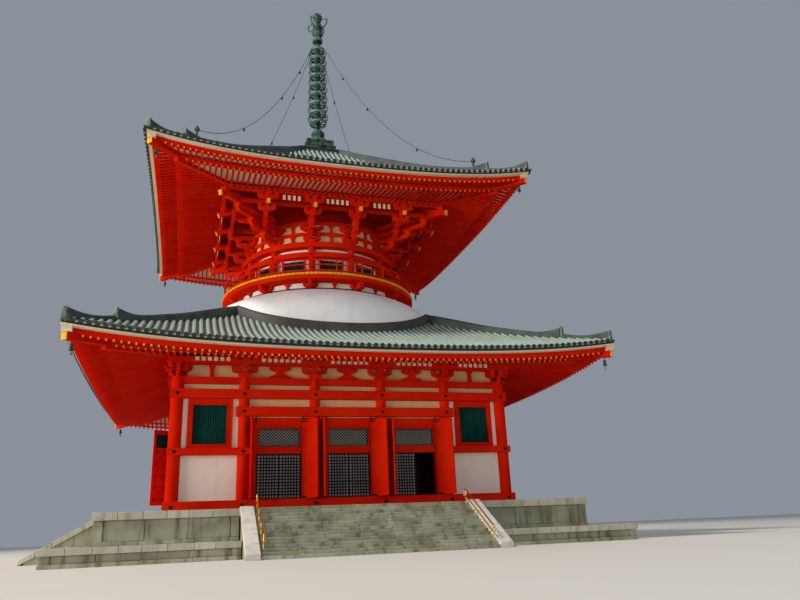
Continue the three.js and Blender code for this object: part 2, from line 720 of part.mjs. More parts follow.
piece("lower_eaves", "red", eaves(LOWER_EAVES, LOWER_ROOF, LOWER_BRACKET.top));
piece("lower_roof", "tile", roofLayer(LOWER_ROOF, 0, -LOWER_ROOF.thick));

// An arc of an ellipse from the mound's upright foot to the ring at its top, which it meets at a slope.
const moundSurface = (offset, arcs) => {
  const { centreR, topR, topZ, footR, springZ } = MOUND;
  const reach = footR - centreR;
  const end = Math.acos((topR - centreR) / reach);
  const height = (topZ - springZ) / Math.sin(end);
  const points = [];
  for (let i = 0; i <= arcs; i++) {
    const angle = (i / arcs) * end;
    points.push([centreR + (reach - offset) * Math.cos(angle), springZ + (height - offset) * Math.sin(angle)]);
  }
  return points;
};
const flashingRing = solidOf(ring([MOUND.footR + TOUCH, MOUND.footR + FLASHING.width], THROUGH, ROUND));
const flashing = flashingRing.intersect(roofLayer(LOWER_ROOF, FLASHING.height, -REACH));
const moundFoot = solidOf(post(0, 0, MOUND.footR + TOUCH, THROUGH, ROUND)).rotate([0, 0, 90]);
const lowerRidges = joined([hips(LOWER_HIP, HIP_WIDTH), flashing]);
piece("lower_ridges", "ridge", lowerRidges.subtract(moundFoot).subtract(belowRoof(LOWER_ROOF)));

const moundProfile = [
  [MOUND.footR, MOUND.footZ],
  ...moundSurface(0, 5),
  [MOUND.eyeR, MOUND.topZ],
  [MOUND.eyeR, MOUND.topZ - MOUND.wall],
  ...moundSurface(MOUND.wall, 2).reverse(),
  [MOUND.footR - MOUND.wall, MOUND.footZ],
  [MOUND.footR, MOUND.footZ],
];
const moundShell = solidOf(turned(moundProfile, ROUND)).subtract(belowRoof(LOWER_ROOF));
piece("mound", "white", moundShell, { roughness: 0.9 });

// Round storey

const halfBay = 180 / DRUM.columns;

function roundEach(count, shape, phase = 0) {
  return Array.from({ length: count }, (_, i) => turnedBy(shape, phase + (360 * i) / count));
}

function balconyDeck() {
  const { wallR, rimR, rimZ, deckZ, armR, armZ, armFootR, armHalf } = BALCONY;
  const foot = MOUND.topZ + TOUCH;
  const profile = [
    [wallR[0], foot],
    [wallR[1], foot],
    [wallR[1], rimZ[0]],
    [rimR, rimZ[0]],
    [rimR, rimZ[1]],
    [DRUM.outer + TOUCH, rimZ[1]],
    [DRUM.outer + TOUCH, deckZ],
    [wallR[0], deckZ],
    [wallR[0], foot],
  ];
  const root = (wallR[0] + wallR[1]) / 2;
  const arm = slice(
    [
      [root, armZ],
      [armFootR, armZ],
      [armR, rimZ[0] + LAP],
      [root, rimZ[0] + LAP],
    ],
    [-armHalf, armHalf],
  );
  return joined([turned(profile, COARSE), roundEach(DRUM.columns, arm, halfBay)]);
}

function railing() {
  const { r, half, post: thick, posts, base } = RAIL;
  const bars = [ring([r - half, r + half], base), ring([r - TOP_RAIL.half, r + TOP_RAIL.half], TOP_RAIL.z)];
  const postZ = [BALCONY.rimZ[1] + TOUCH, TOP_RAIL.z[0] + LAP];
  const upright = frontBox([-thick, thick], [r - thick, r + thick], postZ);
  return joined([bars, roundEach(posts, upright, halfBay)]);
}

piece("balcony_deck", "red", balconyDeck());
piece("balcony_railing", "red", railing());

// Windows of the round storey between its columns, closed by one sheet behind the wall
const drumFoot = MOUND.topZ + TOUCH;
const across = DRUM.outer * Math.tan(rad(DRUM_WINDOW.half));
const drumWindow = frontBox([-across, across], THROUGH, DRUM_WINDOW.z);
const drumShell = solidOf(ring([DRUM.inner, DRUM.outer], [drumFoot, DRUM.top]));
const drumHoles = joined(roundEach(DRUM.columns, drumWindow));
piece("drum_wall", "white", drumShell.subtract(drumHoles), { roughness: 0.9 });
const { sheet, margin } = DRUM_WINDOW;
const sheetZ = [DRUM_WINDOW.z[0] - margin, DRUM_WINDOW.z[1] + margin];
piece("drum_windows", "green", ring([DRUM.inner - sheet, DRUM.inner - TOUCH], sheetZ));

function drumFrame() {
  const rings = DRUM_RINGS.map(({ r, z }) => ring([DRUM.outer + TOUCH, r], z));
  const column = post(0, -DRUM.columnR, DRUM.column, [BALCONY.rimZ[1] + TOUCH, DRUM_RINGS[1].z[0] + LAP], 6);
  return joined([rings, roundEach(DRUM.columns, column, halfBay)]);
}

piece("drum_frame", "red", drumFrame());

// Bracket tiers of the upper storey

// A stepped cantilever from a root out to a reach, its steps rising from the foot to the purlin.
function cantilever(root, reach, foot) {
  const { steps, purlinBottom, arm } = UPPER_BRACKET;
  const start = root - LAP;
  const run = (reach - root) / steps;
  const rise = (purlinBottom - foot) / steps;
  const outline = [[start, foot]];
  for (let i = 0; i < steps; i++) {
    outline.push([root + run * (i + 1), foot + rise * i], [root + run * (i + 1), foot + rise * (i + 1)]);
  }
  outline.push([reach, purlinBottom + LAP], [start, purlinBottom + LAP]);
  return slice(outline, [-arm, arm]);
}

function upperBrackets() {
  const { core, foot, near, far, purlin, purlinBottom, top } = UPPER_BRACKET;
  const coreRing = ring(core, [DRUM.top + TOUCH, top]);
  const purlinBeam = carried([
    [purlin[0], purlinBottom],
    [purlin[1], purlinBottom],
    [purlin[1], top],
    [purlin[0], top],
  ]);
  const middle = cantilever(near.root, purlin[1], foot).translate(near.x, 0, 0);
  const outer = cantilever(far.root, purlin[1], far.foot).translate(far.x, 0, 0);
  const diagonal = turnedBy(cantilever(core[1], purlin[1] * Math.SQRT2, foot), 45);
  const quarter = [bothSides(middle), bothSides(outer), diagonal];
  return joined([coreRing, purlinBeam, fourSides(joined(quarter))]);
}

piece("upper_brackets", "red", upperBrackets());
piece("upper_eaves", "red", eaves(UPPER_EAVES, UPPER_ROOF, UPPER_BRACKET.top));
piece("upper_roof", "tile", roofLayer(UPPER_ROOF, 0, -UPPER_ROOF.thick));

// A ball of a radius where a chain meets its hip
function jewelOf(r) {
  return new THREE.SphereGeometry(r, SMALL, 5).rotateX(Math.PI / 2).translate(0, -CHAIN.footR, CHAIN.foot);
}

const plinthSide = FINIAL.plinth.half + TOUCH;
const collar = carried([
  [plinthSide, FINIAL.plinth.z[0]],
  [COLLAR.half, FINIAL.plinth.z[0]],
  [COLLAR.half, COLLAR.top],
  [plinthSide, COLLAR.top],
]);
const plinthWell = box([-plinthSide, plinthSide], [-plinthSide, plinthSide], THROUGH);
const upperRidges = joined([hips(UPPER_HIP, HIP_WIDTH), collar, fourSides(turnedBy(jewelOf(HIP_JEWEL_R), 45))]);
piece("upper_ridges", "ridge", upperRidges.subtract(solidOf(plinthWell)).subtract(belowRoof(UPPER_ROOF)));

// Finial

const metal = { roughness: 0.6, metalness: 0.5 };
const { plinth, box: dewBox } = FINIAL;
const plinthBlock = box([-plinth.half, plinth.half], [-plinth.half, plinth.half], plinth.z);
const dewBlock = box([-dewBox.half, dewBox.half], [-dewBox.half, dewBox.half], [plinth.z[1] - LAP, dewBox.top]);
piece("finial_base", "bronze", joined([plinthBlock, dewBlock]).subtract(belowRoof(UPPER_ROOF)), metal);

function mast() {
  const { bowlR, bowlZ, shaftR, ringZ, ringR, ringDepth, ringBar, spoke, rings, neckZ, neckR } = FINIAL;
  const foot = dewBox.top + TOUCH;
  const profile = [
    [0, foot],
    ...LOTUS.map(([r, z]) => [r, foot + z]),
    [bowlR, bowlZ[0]],
    [bowlR * 0.9, (bowlZ[0] + 2 * bowlZ[1]) / 3],
    [bowlR / 2, bowlZ[1]],
    [shaftR, bowlZ[1] + shaftR],
    [shaftR, neckZ[0]],
    [neckR * 0.9, neckZ[0] + shaftR],
    [neckR * 0.5, (2 * neckZ[0] + neckZ[1]) / 3],
    [neckR, neckZ[1] - shaftR / 2],
    [neckR, neckZ[1]],
    [0, neckZ[1]],
  ];
  const hoops = Array.from({ length: rings }, (_, i) => {
    const s = i / (rings - 1);
    const z = THREE.MathUtils.lerp(ringZ[0], ringZ[1], s);
    const r = THREE.MathUtils.lerp(ringR[0], ringR[1], s);
    const bar = box([LAP - r, r - LAP], [-spoke, spoke], [z - spoke, z + spoke]);
    return [ring([r - ringBar, r], [z - ringDepth, z + ringDepth], SMALL), bar];
  });
  return joined([turned(profile, SMALL), hoops]);
}

function crown() {
  const [[footR, footZ], ...rest] = JEWEL;
  const profile = [[0, footZ + TOUCH], [footR, footZ + TOUCH], ...rest, [0, FINIAL.top]];
  const prong = slice(PRONG, [-PRONGS.half, PRONGS.half]);
  return joined([turned(profile, BOLD), roundEach(PRONGS.count, prong, 45)]);
}

piece("finial_mast", "bronze", mast(), metal);
piece("finial_crown", "bronze", crown(), metal);

// Chains: each hangs in a sagging curve from the top ring to the jewel on a hip, with bells on it.

// Height of a chain at a distance from the axis: a straight line less a parabola's sag.
function chainZ(r) {
  const s = (r - CHAIN.topR) / (CHAIN.footR - CHAIN.topR);
  return THREE.MathUtils.lerp(FINIAL.ringZ[1], CHAIN.foot, s) - 4 * CHAIN.sag * s * (1 - s);
}

function chainRoute() {
  const { topR, footR, steps } = CHAIN;
  const radii = Array.from({ length: steps + 1 }, (_, i) => THREE.MathUtils.lerp(topR, footR, i / steps));
  return new THREE.CatmullRomCurve3(radii.map((r) => new THREE.Vector3(0, -r, chainZ(r))));
}

function chain() {
  const { r: half, sides, steps } = CHAIN;
  const corners = Array.from({ length: sides }, (_, i) => {
    const angle = (2 * Math.PI * i) / sides;
    return new THREE.Vector2(half * Math.cos(angle), half * Math.sin(angle));
  });
  const extrude = { steps, extrudePath: chainRoute(), bevelEnabled: false };
  const tube = new THREE.ExtrudeGeometry(new THREE.Shape(corners), extrude);
  const bells = CHAIN_BELLS.map((r) => turned(CHAIN_BELL, 6).translate(0, -r, chainZ(r)));
  const depth = FINIAL.ringDepth + TOUCH;
  const topZ = FINIAL.ringZ[1];
  const topRing = post(0, 0, FINIAL.ringR[1] + TOUCH, [topZ - depth, topZ + depth]);
  return joined([tube, bells]).subtract(joined([topRing, jewelOf(HIP_JEWEL_R + TOUCH)]));
}

["front_right", "rear_right", "rear_left", "front_left"].forEach((name, i) => {
  const degrees = 45 + 90 * i;
  piece(`chain_${name}`, "bronze", turnedBy(chain(), degrees), metal);
});

export default pagoda;
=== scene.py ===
import logging
from collections.abc import Callable, Sequence
from dataclasses import dataclass, field
from enum import Enum

import bpy
import numpy as np
from mathutils import Matrix, Vector


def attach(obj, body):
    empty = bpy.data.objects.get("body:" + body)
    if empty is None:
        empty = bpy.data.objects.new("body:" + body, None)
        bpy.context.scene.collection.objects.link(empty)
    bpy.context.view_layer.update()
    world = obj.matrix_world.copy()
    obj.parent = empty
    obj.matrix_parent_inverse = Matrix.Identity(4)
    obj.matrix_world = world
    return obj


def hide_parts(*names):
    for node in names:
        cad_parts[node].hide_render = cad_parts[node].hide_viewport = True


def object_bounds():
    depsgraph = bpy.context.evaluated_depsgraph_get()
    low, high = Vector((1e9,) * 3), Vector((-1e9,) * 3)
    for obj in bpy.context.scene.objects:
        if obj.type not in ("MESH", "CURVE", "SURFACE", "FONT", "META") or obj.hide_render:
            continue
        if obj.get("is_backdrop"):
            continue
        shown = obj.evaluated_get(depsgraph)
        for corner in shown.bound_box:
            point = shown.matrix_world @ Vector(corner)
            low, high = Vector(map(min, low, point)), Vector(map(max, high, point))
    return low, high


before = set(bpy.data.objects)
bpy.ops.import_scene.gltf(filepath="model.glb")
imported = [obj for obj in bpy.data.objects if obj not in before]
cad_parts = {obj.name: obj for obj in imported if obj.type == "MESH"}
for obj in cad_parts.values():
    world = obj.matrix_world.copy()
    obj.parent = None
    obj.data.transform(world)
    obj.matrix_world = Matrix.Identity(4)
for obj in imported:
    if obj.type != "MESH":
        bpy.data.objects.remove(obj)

# Every length is one of the building in metres, z from the ground, x to the right, y to the rear.
# A piece's mesh is scaled once to the model. p is the distance out from the centre, square to a side.
LOG = logging.getLogger("pagoda")
CAD_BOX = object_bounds()
MODEL_SCALE = 0.5
MAIN_BODY = "pagoda"
SIDES = np.array([0.0, 90.0, 180.0, 270.0])
CORNERS = SIDES + 45
TWELFTHS = 30.0 * np.arange(12)
SHARP = np.radians(38.0)
TOUCH = 0.0006
SEED = 7

# Places that several classes share
BAY = 4.625
END_BAY = 9.05
STAND = 3.3206
BRACKET_SEAT = 11.1006
MOUND_SEAT = 19.0506
DECK_SEAT = 20.1506
DRUM_FACE = 5.9006

Pair = tuple[float, float]
Value = np.ndarray | float


class Slot(Enum):
    """Material slots of the part's record."""

    VERMILION = "vermilion_paint"
    PLASTER = "white_plaster"
    GREEN = "green_window"
    LATTICE = "dark_lattice"
    TILE = "copper_tiles"
    RIDGE = "dark_ridge_tiles"
    STONE = "weathered_granite"
    GRANITE = "pale_granite"
    BRASS = "brass_rail"
    BRONZE = "patinated_bronze"


def unit(vectors: np.ndarray) -> np.ndarray:
    """Vectors divided by their lengths."""
    return vectors / np.linalg.norm(vectors, axis=-1, keepdims=True)


def points_of(*axes: Value) -> np.ndarray:
    """Points put together from their coordinates, each a number or an array."""
    return np.stack(np.broadcast_arrays(*axes), -1)


@dataclass(frozen=True)
class Shape:
    """Closed bodies: points, rows of point numbers for each size of face, and each point's body number."""

    points: np.ndarray
    faces: tuple[np.ndarray, ...]
    bodies: np.ndarray

    def outward(self) -> "Shape":
        """The shape with its faces out: the signed volume under its faces, as fans, is made positive."""
        volume = 0.0
        for rows in self.faces:
            first = self.points[rows[:, 0]]
            for j in range(1, rows.shape[1] - 1):
                pair = np.cross(self.points[rows[:, j]], self.points[rows[:, j + 1]])
                volume += float(np.einsum("ij,ij->", first, pair))
        if volume >= 0:
            return self
        return Shape(self.points, tuple(rows[:, ::-1] for rows in self.faces), self.bodies)

    def welded(self) -> "Shape":
        """The shape with coinciding points made one, and faces that lost corners made smaller or dropped."""
        _, first, back = np.unique(np.round(self.points, 6), axis=0, return_index=True, return_inverse=True)
        back = back.reshape(-1)
        faces = []
        for rows in (back[rows] for rows in self.faces):
            same = rows == np.roll(rows, -1, axis=1)
            lost = same.sum(axis=1)
            faces.append(rows[lost == 0])
            if rows.shape[1] == 4:
                faces.append(rows[lost == 1][~same[lost == 1]].reshape(-1, 3))
        return Shape(self.points[first], tuple(faces), self.bodies[first])

    def copied(self, degrees: float | np.ndarray = 0.0, moves: Sequence = (0.0, 0.0, 0.0)) -> "Shape":
        """Copies of the shape, each turned about the z axis by its angle and then moved.

        Args:
            degrees: one angle or an array of angles.
            moves: one move or an array of moves.

        Returns:
            All the copies as one shape.
        """
        angles = np.radians(np.atleast_1d(degrees).astype(float))
        shifts = np.atleast_2d(np.asarray(moves, float))
        count = max(len(angles), len(shifts))
        angles = np.broadcast_to(angles, count)
        shifts = np.broadcast_to(shifts, (count, 3))
        turn = np.zeros((count, 3, 3))
        turn[:, 0, 0] = turn[:, 1, 1] = np.cos(angles)
        turn[:, 1, 0] = np.sin(angles)
        turn[:, 0, 1] = -turn[:, 1, 0]
        turn[:, 2, 2] = 1
        points = np.einsum("nij,mj->nmi", turn, self.points) + shifts[:, None]
        step = np.arange(count)[:, None, None] * len(self.points)
        faces = tuple((rows[None] + step).reshape(-1, rows.shape[1]) for rows in self.faces)
        span = int(self.bodies.max()) + 1
        bodies = (self.bodies[None] + np.arange(count)[:, None] * span).reshape(-1)
        return Shape(points.reshape(-1, 3), faces, bodies)

    def mirrored(self) -> "Shape":
        """The shape with x turned to -x and its faces kept outward."""
        return Shape(self.points * [-1, 1, 1], tuple(rows[:, ::-1] for rows in self.faces), self.bodies)

    def mapped(self, change: Callable[[np.ndarray], np.ndarray]) -> "Shape":
        """The shape with a function applied to all its points at once."""
        return Shape(change(self.points), self.faces, self.bodies)

    def both(self) -> "Shape":
        """The shape and its mirror image across x = 0."""
        return joined([self, self.mirrored()])

    def four(self) -> "Shape":
        """The shape on each of the four sides."""
        return self.copied(SIDES)


def joined(shapes: Sequence[Shape]) -> Shape:
    """One shape of all the bodies of several shapes."""
    faces: list[np.ndarray] = []
    bodies: list[np.ndarray] = []
    count = 0
    known = 0
    for shape in shapes:
        faces.extend(rows + count for rows in shape.faces)
        bodies.append(shape.bodies + known)
        count += len(shape.points)
        known += int(shape.bodies.max()) + 1
    return Shape(np.vstack([shape.points for shape in shapes]), tuple(faces), np.concatenate(bodies))


def loft(sections: np.ndarray, closed: bool = False) -> Shape:
    """Closed bodies through rows of sections: quads between neighbouring sections, and caps on open ends.

    Args:
        sections: (..., k, m, 3) points: k sections of m points for each body.
        closed: whether the last section joins the first.

    Returns:
        The bodies with their faces out.
    """
    *many, k, m, _ = sections.shape
    count = int(np.prod(many)) if many else 1
    i, j = np.meshgrid(np.arange(k if closed else k - 1), np.arange(m), indexing="ij")
    i_next, j_next = (i + 1) % k, (j + 1) % m
    quads = np.stack([i * m + j, i_next * m + j, i_next * m + j_next, i * m + j_next], -1).reshape(-1, 4)
    rows = [quads]
    if not closed:
        rows.append(np.array([np.arange(m), np.arange(m)[::-1] + (k - 1) * m]))
    shift = np.arange(count)[:, None, None] * (k * m)
    faces = tuple((part[None] + shift).reshape(-1, part.shape[1]) for part in rows)
    return Shape(sections.reshape(-1, 3), faces, np.repeat(np.arange(count), k * m)).outward()


def blocks(x: tuple, p: tuple, z: tuple) -> Shape:
    """Blocks on the front side between two x, two distances out and two heights, each a number or a row."""
    x0, x1, p0, p1, z0, z1 = (np.atleast_1d(v) for v in np.broadcast_arrays(*x, *p, *z))
    across = points_of(x0, x1, x1, x0)
    out = -points_of(p0, p0, p1, p1)
    rows = [points_of(across, out, level[:, None]) for level in (z0, z1)]
    return loft(np.stack(rows, 1).astype(float))


def border(x: Pair, z: Pair, hole_x: Pair, hole_z: Pair, p: Pair) -> Shape:
    """Four boards round a hole on the front side: two uprights of full height and two rails between them."""
    uprights = blocks(([x[0], hole_x[1]], [hole_x[0], x[1]]), p, z)
    rails = blocks(hole_x, p, ([z[0], hole_z[1]], [hole_z[0], z[1]]))
    return joined([uprights, rails])


def line_ends(start: Sequence, end: Sequence) -> list[np.ndarray]:
    """The first and the last points of lines as two arrays of one length, where either may be one point."""
    return np.broadcast_arrays(*(np.atleast_2d(np.asarray(points, float)) for points in (start, end)))


def sections_along(start: np.ndarray, end: np.ndarray, offsets: np.ndarray, up: Sequence) -> np.ndarray:
    """Sections at the two ends of straight lines: each offset [across, rise] is laid square to its line.

    Args:
        start, end: (n, 3) ends of the lines.
        offsets: (n or 1, 2, m, 2) section points at both ends.
        up: the direction that the sections' rise leans to.
    """
    line = unit(end - start)
    upright = np.abs(line @ np.asarray(up, float)) > 0.999
    lean_to = np.where(upright[:, None], (0.0, 1.0, 0.0), np.asarray(up, float))
    across = unit(np.cross(line, lean_to))
    rise = np.cross(across, line)
    lean = across[:, None, None] * offsets[..., :1] + rise[:, None, None] * offsets[..., 1:]
    return np.stack([start, end], 1)[:, :, None] + lean


def beams(start: Sequence, end: Sequence, width: float, depth: float, up: Sequence = (0, 0, 1)) -> Shape:
    """Square bars along lines: half the width to each side and half the depth above and below."""
    a, b = line_ends(start, end)
    corners = np.array([(-1, -1), (1, -1), (1, 1), (-1, 1)]) * [width / 2, depth / 2]
    return loft(sections_along(a, b, np.stack([corners, corners])[None], up))


def plumb(start: np.ndarray, end: np.ndarray, width: float, depth: float) -> Shape:
    """Bars of the front side with ends cut upright: the same upright rectangle in x and z at both ends."""
    corners = np.array([(-1, 0, -1), (1, 0, -1), (1, 0, 1), (-1, 0, 1)]) * [width / 2, 0, depth / 2]
    return loft(np.stack([start[:, None] + corners, end[:, None] + corners], 1))


def rods(
    start: Sequence,
    end: Sequence,
    radius: float | tuple,
    sides: int = 10,
    up: Sequence = (0, 0, 1),
) -> Shape:
    """Round bars along lines, of one radius or tapering from a first to a last radius."""
    a, b = line_ends(start, end)
    angle = np.linspace(0, 2 * np.pi, sides, endpoint=False)
    circle = np.stack([np.cos(angle), np.sin(angle)], -1)
    first, last = np.broadcast_to(radius, 2)
    return loft(sections_along(a, b, np.stack([circle * first, circle * last])[None], up))


def lathe(profile: Sequence, sides: int = 48) -> Shape:
    """A profile of [radius, z] turned about the z axis, as (r sin a, -r cos a, z)."""
    angle = np.linspace(0, 2 * np.pi, sides, endpoint=False)[:, None]
    r, z = np.asarray(profile, float).T
    return loft(points_of(np.sin(angle) * r, -np.cos(angle) * r, z), closed=True).welded()


def ring(r: Pair, z: Pair, sides: int = 96) -> Shape:
    """A flat ring between two radii and two heights."""
    return lathe([(r[0], z[0]), (r[1], z[0]), (r[1], z[1]), (r[0], z[1])], sides)


def arcs(r: tuple, z: tuple, start: Sequence[float], end: Sequence[float], steps: int = 4) -> Shape:
    """Stretches of a ring between start and end angles in degrees from the front."""
    first, last = np.asarray(start, float)[:, None], np.asarray(end, float)[:, None]
    angle = np.radians(first + (last - first) * np.linspace(0, 1, steps + 1))[..., None]
    corner_r = np.array([r[0], r[1], r[1], r[0]])
    corner_z = np.array([z[0], z[0], z[1], z[1]])
    return loft(points_of(np.sin(angle) * corner_r, -np.cos(angle) * corner_r, corner_z))


def upturn(t: Value) -> Value:
    """Share of a corner's lift at a share t of the way from the middle of a side: (t² + t⁴) / 2."""
    return (t**2 + t**4) / 2


def carried(
    section: Sequence,
    lift: Value = 0.0,
    spans: int = 1,
    flare: Value = 0.0,
) -> Shape:
    """A closed section of [p, z] carried round the square.

    A side's point is (q t, -q, z + lift upturn(t)) with q = p (1 + flare upturn(t)), t from -1 to 1, with
    one lift and one flare for each point of the section.
    """
    p, z = np.asarray(section, float).T
    t = np.linspace(-1, 1, spans + 1)[:-1, None]
    wide = p * (1 + flare * upturn(t))
    side = np.stack([t * wide, -wide, z + lift * upturn(t)], -1)
    corner = [side]
    for _ in SIDES[1:]:
        last = corner[-1]
        corner.append(np.stack([-last[..., 1], last[..., 0], last[..., 2]], -1))
    return loft(np.concatenate(corner), closed=True)


def carried_board(p: Pair, z: Pair) -> Shape:
    """A level board carried round the square between two distances out and two heights."""
    return carried([(p[0], z[0]), (p[1], z[0]), (p[1], z[1]), (p[0], z[1])])


def plate(outline: Sequence, p: Pair) -> Shape:
    """An outline of [x, z] on the front side, made thick between two distances out."""
    x, z = np.asarray(outline, float).T
    return loft(np.stack([points_of(x, -out, z) for out in p]))


def fin(outline: Sequence, x: Pair) -> Shape:
    """An outline of [p, z] on the front side, made thick between two x."""
    out, z = np.asarray(outline, float).T
    return loft(np.stack([points_of(at, -out, z) for at in x]))


def tube(path: np.ndarray, radius: float | np.ndarray, normal: Sequence[float], sides: int = 8) -> Shape:
    """A round bar along a path that lies in the plane square to a normal."""
    tangent = unit(np.gradient(path, axis=0))
    across = np.broadcast_to(np.asarray(normal, float), path.shape)
    rise = unit(np.cross(tangent, across))
    angle = np.linspace(0, 2 * np.pi, sides, endpoint=False)
    size = np.broadcast_to(radius, len(path))[:, None, None]
    circle = across[:, None] * np.cos(angle)[:, None] + rise[:, None] * np.sin(angle)[:, None]
    return loft(path[:, None] + size * circle)


def smooth(points: Sequence, spans: int = 5) -> np.ndarray:
    """Points on the smooth curve through a few points, each span a cubic with its neighbours' slopes."""
    knots = np.asarray(points, float)
    before = np.vstack([2 * knots[0] - knots[1], knots[:-1]])
    after = np.vstack([knots[1:], 2 * knots[-1] - knots[-2]])
    slope = (after - before) / 2
    s = np.linspace(0, 1, spans, endpoint=False)[None, :, None]
    a, b, ma, mb = knots[:-1, None], knots[1:, None], slope[:-1, None], slope[1:, None]
    curve = (2 * s**3 - 3 * s**2 + 1) * a + (s**3 - 2 * s**2 + s) * ma
    curve = curve + (3 * s**2 - 2 * s**3) * b + (s**3 - s**2) * mb
    return np.vstack([curve.reshape(-1, knots.shape[1]), knots[-1:]])


def curved_arm(
    half: float,
    foot: float,
    top: float,
    climb: float = 0.62,
    power: float = 3.2,
    count: int = 17,
) -> np.ndarray:
    """[x, z] of a bracket arm: flat top and ends, over an underside that curves up to them.

    The underside is foot + climb (top - foot) |s|^power at x = s half, with s from -1 to 1.
    """
    s = np.linspace(-1, 1, count)
    under = foot + (top - foot) * climb * np.abs(s) ** power
    return np.vstack([points_of(s * half, under), [(half, top), (-half, top)]])


def bearing_block(half: float, z0: float, z1: float, p: float = 0.0, x: float = 0.0) -> Shape:
    """A bearing block: straight above, its lower two fifths drawn in."""
    waist = z0 + 0.42 * (z1 - z0)
    corners = np.array([(-1, -1), (1, -1), (1, 1), (-1, 1)])
    rows = []
    for size, z in ((half * 0.68, z0), (half, waist), (half, z1)):
        rows.append(np.column_stack([corners * size + [x, -p], np.full(4, z)]))
    return loft(np.stack(rows))


def linear(colour: int) -> tuple[float, float, float, float]:
    """A colour written as red, green and blue bytes, as the linear values that shaders use."""
    share = np.array([(colour >> shift) & 255 for shift in (16, 8, 0)]) / 255
    flat = np.where(share <= 0.04045, share / 12.92, ((share + 0.055) / 1.055) ** 2.4)
    return (*flat.tolist(), 1.0)


class Link:
    """An output of a material's nodes; an expression on it adds the Math nodes that work it out."""

    def __init__(self, nodes: "Nodes", socket: bpy.types.NodeSocket) -> None:
        """Keeps the node maker and the socket."""
        self.nodes = nodes
        self.socket = socket

    def math(self, operation: str, *values: "Link | float") -> "Link":
        """A Math node of that operation on the values."""
        return self.nodes.node("ShaderNodeMath", {"operation": operation}, dict(enumerate(values)))

    def __add__(self, other: "Link | float") -> "Link":
        """The sum."""
        return self.math("ADD", self, other)

    def __radd__(self, other: float) -> "Link":
        """The sum, the other way round."""
        return self.math("ADD", other, self)

    def __sub__(self, other: "Link | float") -> "Link":
        """The difference."""
        return self.math("SUBTRACT", self, other)

    def __rsub__(self, other: float) -> "Link":
        """The difference, the other way round."""
        return self.math("SUBTRACT", other, self)

    def __mul__(self, other: "Link | float") -> "Link":
        """The product."""
        return self.math("MULTIPLY", self, other)

    def __rmul__(self, other: float) -> "Link":
        """The product, the other way round."""
        return self.math("MULTIPLY", other, self)

    def __truediv__(self, other: "Link | float") -> "Link":
        """The quotient."""
        return self.math("DIVIDE", self, other)

    def clamped(self) -> "Link":
        """The value held between 0 and 1."""
        return self.nodes.node("ShaderNodeClamp", {}, {"Value": self})

    def size(self) -> "Link":
        """The value without its sign."""
        return self.math("ABSOLUTE", self)

    def part(self) -> "Link":
        """The value's part after the point."""
        return self.math("FRACT", self)


class Nodes:
    """Makes the nodes of one material, with positions in the building's metres."""

    def __init__(self, name: str) -> None:
        """Starts the material's node tree."""
        self.material = bpy.data.materials.new(name)
        self.material.use_nodes = True
        self.tree = self.material.node_tree
        self.tree.nodes.clear()
        local = self.node("ShaderNodeTexCoord", {}, {}, "Object")
        inputs = {"Vector": local, "Scale": 1 / MODEL_SCALE}
        self.position = self.node("ShaderNodeVectorMath", {"operation": "SCALE"}, inputs)

    def node(self, kind: str, settings: dict, inputs: dict, output: int | str = 0) -> Link:
        """One node.

        Args:
            kind: the node's type.
            settings: its settings, with a ramp's stops under "stops" as [place, colour].
            inputs: values or links by socket name or number.
            output: the socket that is returned.
        """
        made = self.tree.nodes.new(kind)
        for key, value in settings.items():
            if key == "stops":
                ramp = made.color_ramp
                while len(ramp.elements) < len(value):
                    ramp.elements.new(0.5)
                for element, (place, colour) in zip(ramp.elements, value):
                    element.position = place
                    element.color = colour
            else:
                setattr(made, key, value)
        for key, value in inputs.items():
            if isinstance(value, Link):
                self.tree.links.new(value.socket, made.inputs[key])
            else:
                made.inputs[key].default_value = value
        return Link(self, made.outputs[output])

    def noise(self, scale: float, detail: float = 3.0, stretch: tuple = (1.0, 1.0, 1.0)) -> Link:
        """Noise from 0 to 1, scale features to a metre, after stretching the position."""
        place = self.position
        if stretch != (1.0, 1.0, 1.0):
            place = self.node("ShaderNodeVectorMath", {"operation": "MULTIPLY"}, {0: place, 1: stretch})
        return self.node("ShaderNodeTexNoise", {}, {"Vector": place, "Scale": scale, "Detail": detail})

    def stepped(self, value: Link, low: float, high: float) -> Link:
        """The value remapped so that low gives 0 and high gives 1, and held there."""
        inputs = {"Value": value, "From Min": low, "From Max": high}
        return self.node("ShaderNodeMapRange", {"interpolation_type": "SMOOTHSTEP"}, inputs)

    def mix(self, first: Link | tuple, second: Link | tuple, share: Link | float) -> Link:
        """A colour between two, by the share of the second."""
        return self.node("ShaderNodeMix", {"data_type": "RGBA"}, {0: share, 6: first, 7: second}, 2)

    def shade(self) -> Link:
        """The random number of each body, kept as an attribute of the piece's points."""
        return self.node("ShaderNodeAttribute", {"attribute_name": "shade"}, {}, "Fac")

    def axes(self) -> tuple[Link, Link, Link]:
        """The position's x, y and z."""
        split = self.tree.nodes.new("ShaderNodeSeparateXYZ")
        self.tree.links.new(self.position.socket, split.inputs[0])
        return tuple(Link(self, out) for out in split.outputs)

    def bump(self, height: Link, distance: float, strength: float = 1.0) -> Link:
        """A normal bent by a height, its relief given as a distance on the model."""
        inputs = {"Height": height, "Distance": distance, "Strength": strength}
        return self.node("ShaderNodeBump", {}, inputs)

    def surface(self, inputs: dict) -> bpy.types.Material:
        """The finished material, with the values or links of its shader's sockets."""
        shader = self.node("ShaderNodeBsdfPrincipled", {}, inputs)
        self.close(shader)
        return self.material

    def close(self, shader: Link) -> None:
        """Joins a shader to the material's output."""
        out = self.tree.nodes.new("ShaderNodeOutputMaterial")
        self.tree.links.new(shader.socket, out.inputs["Surface"])


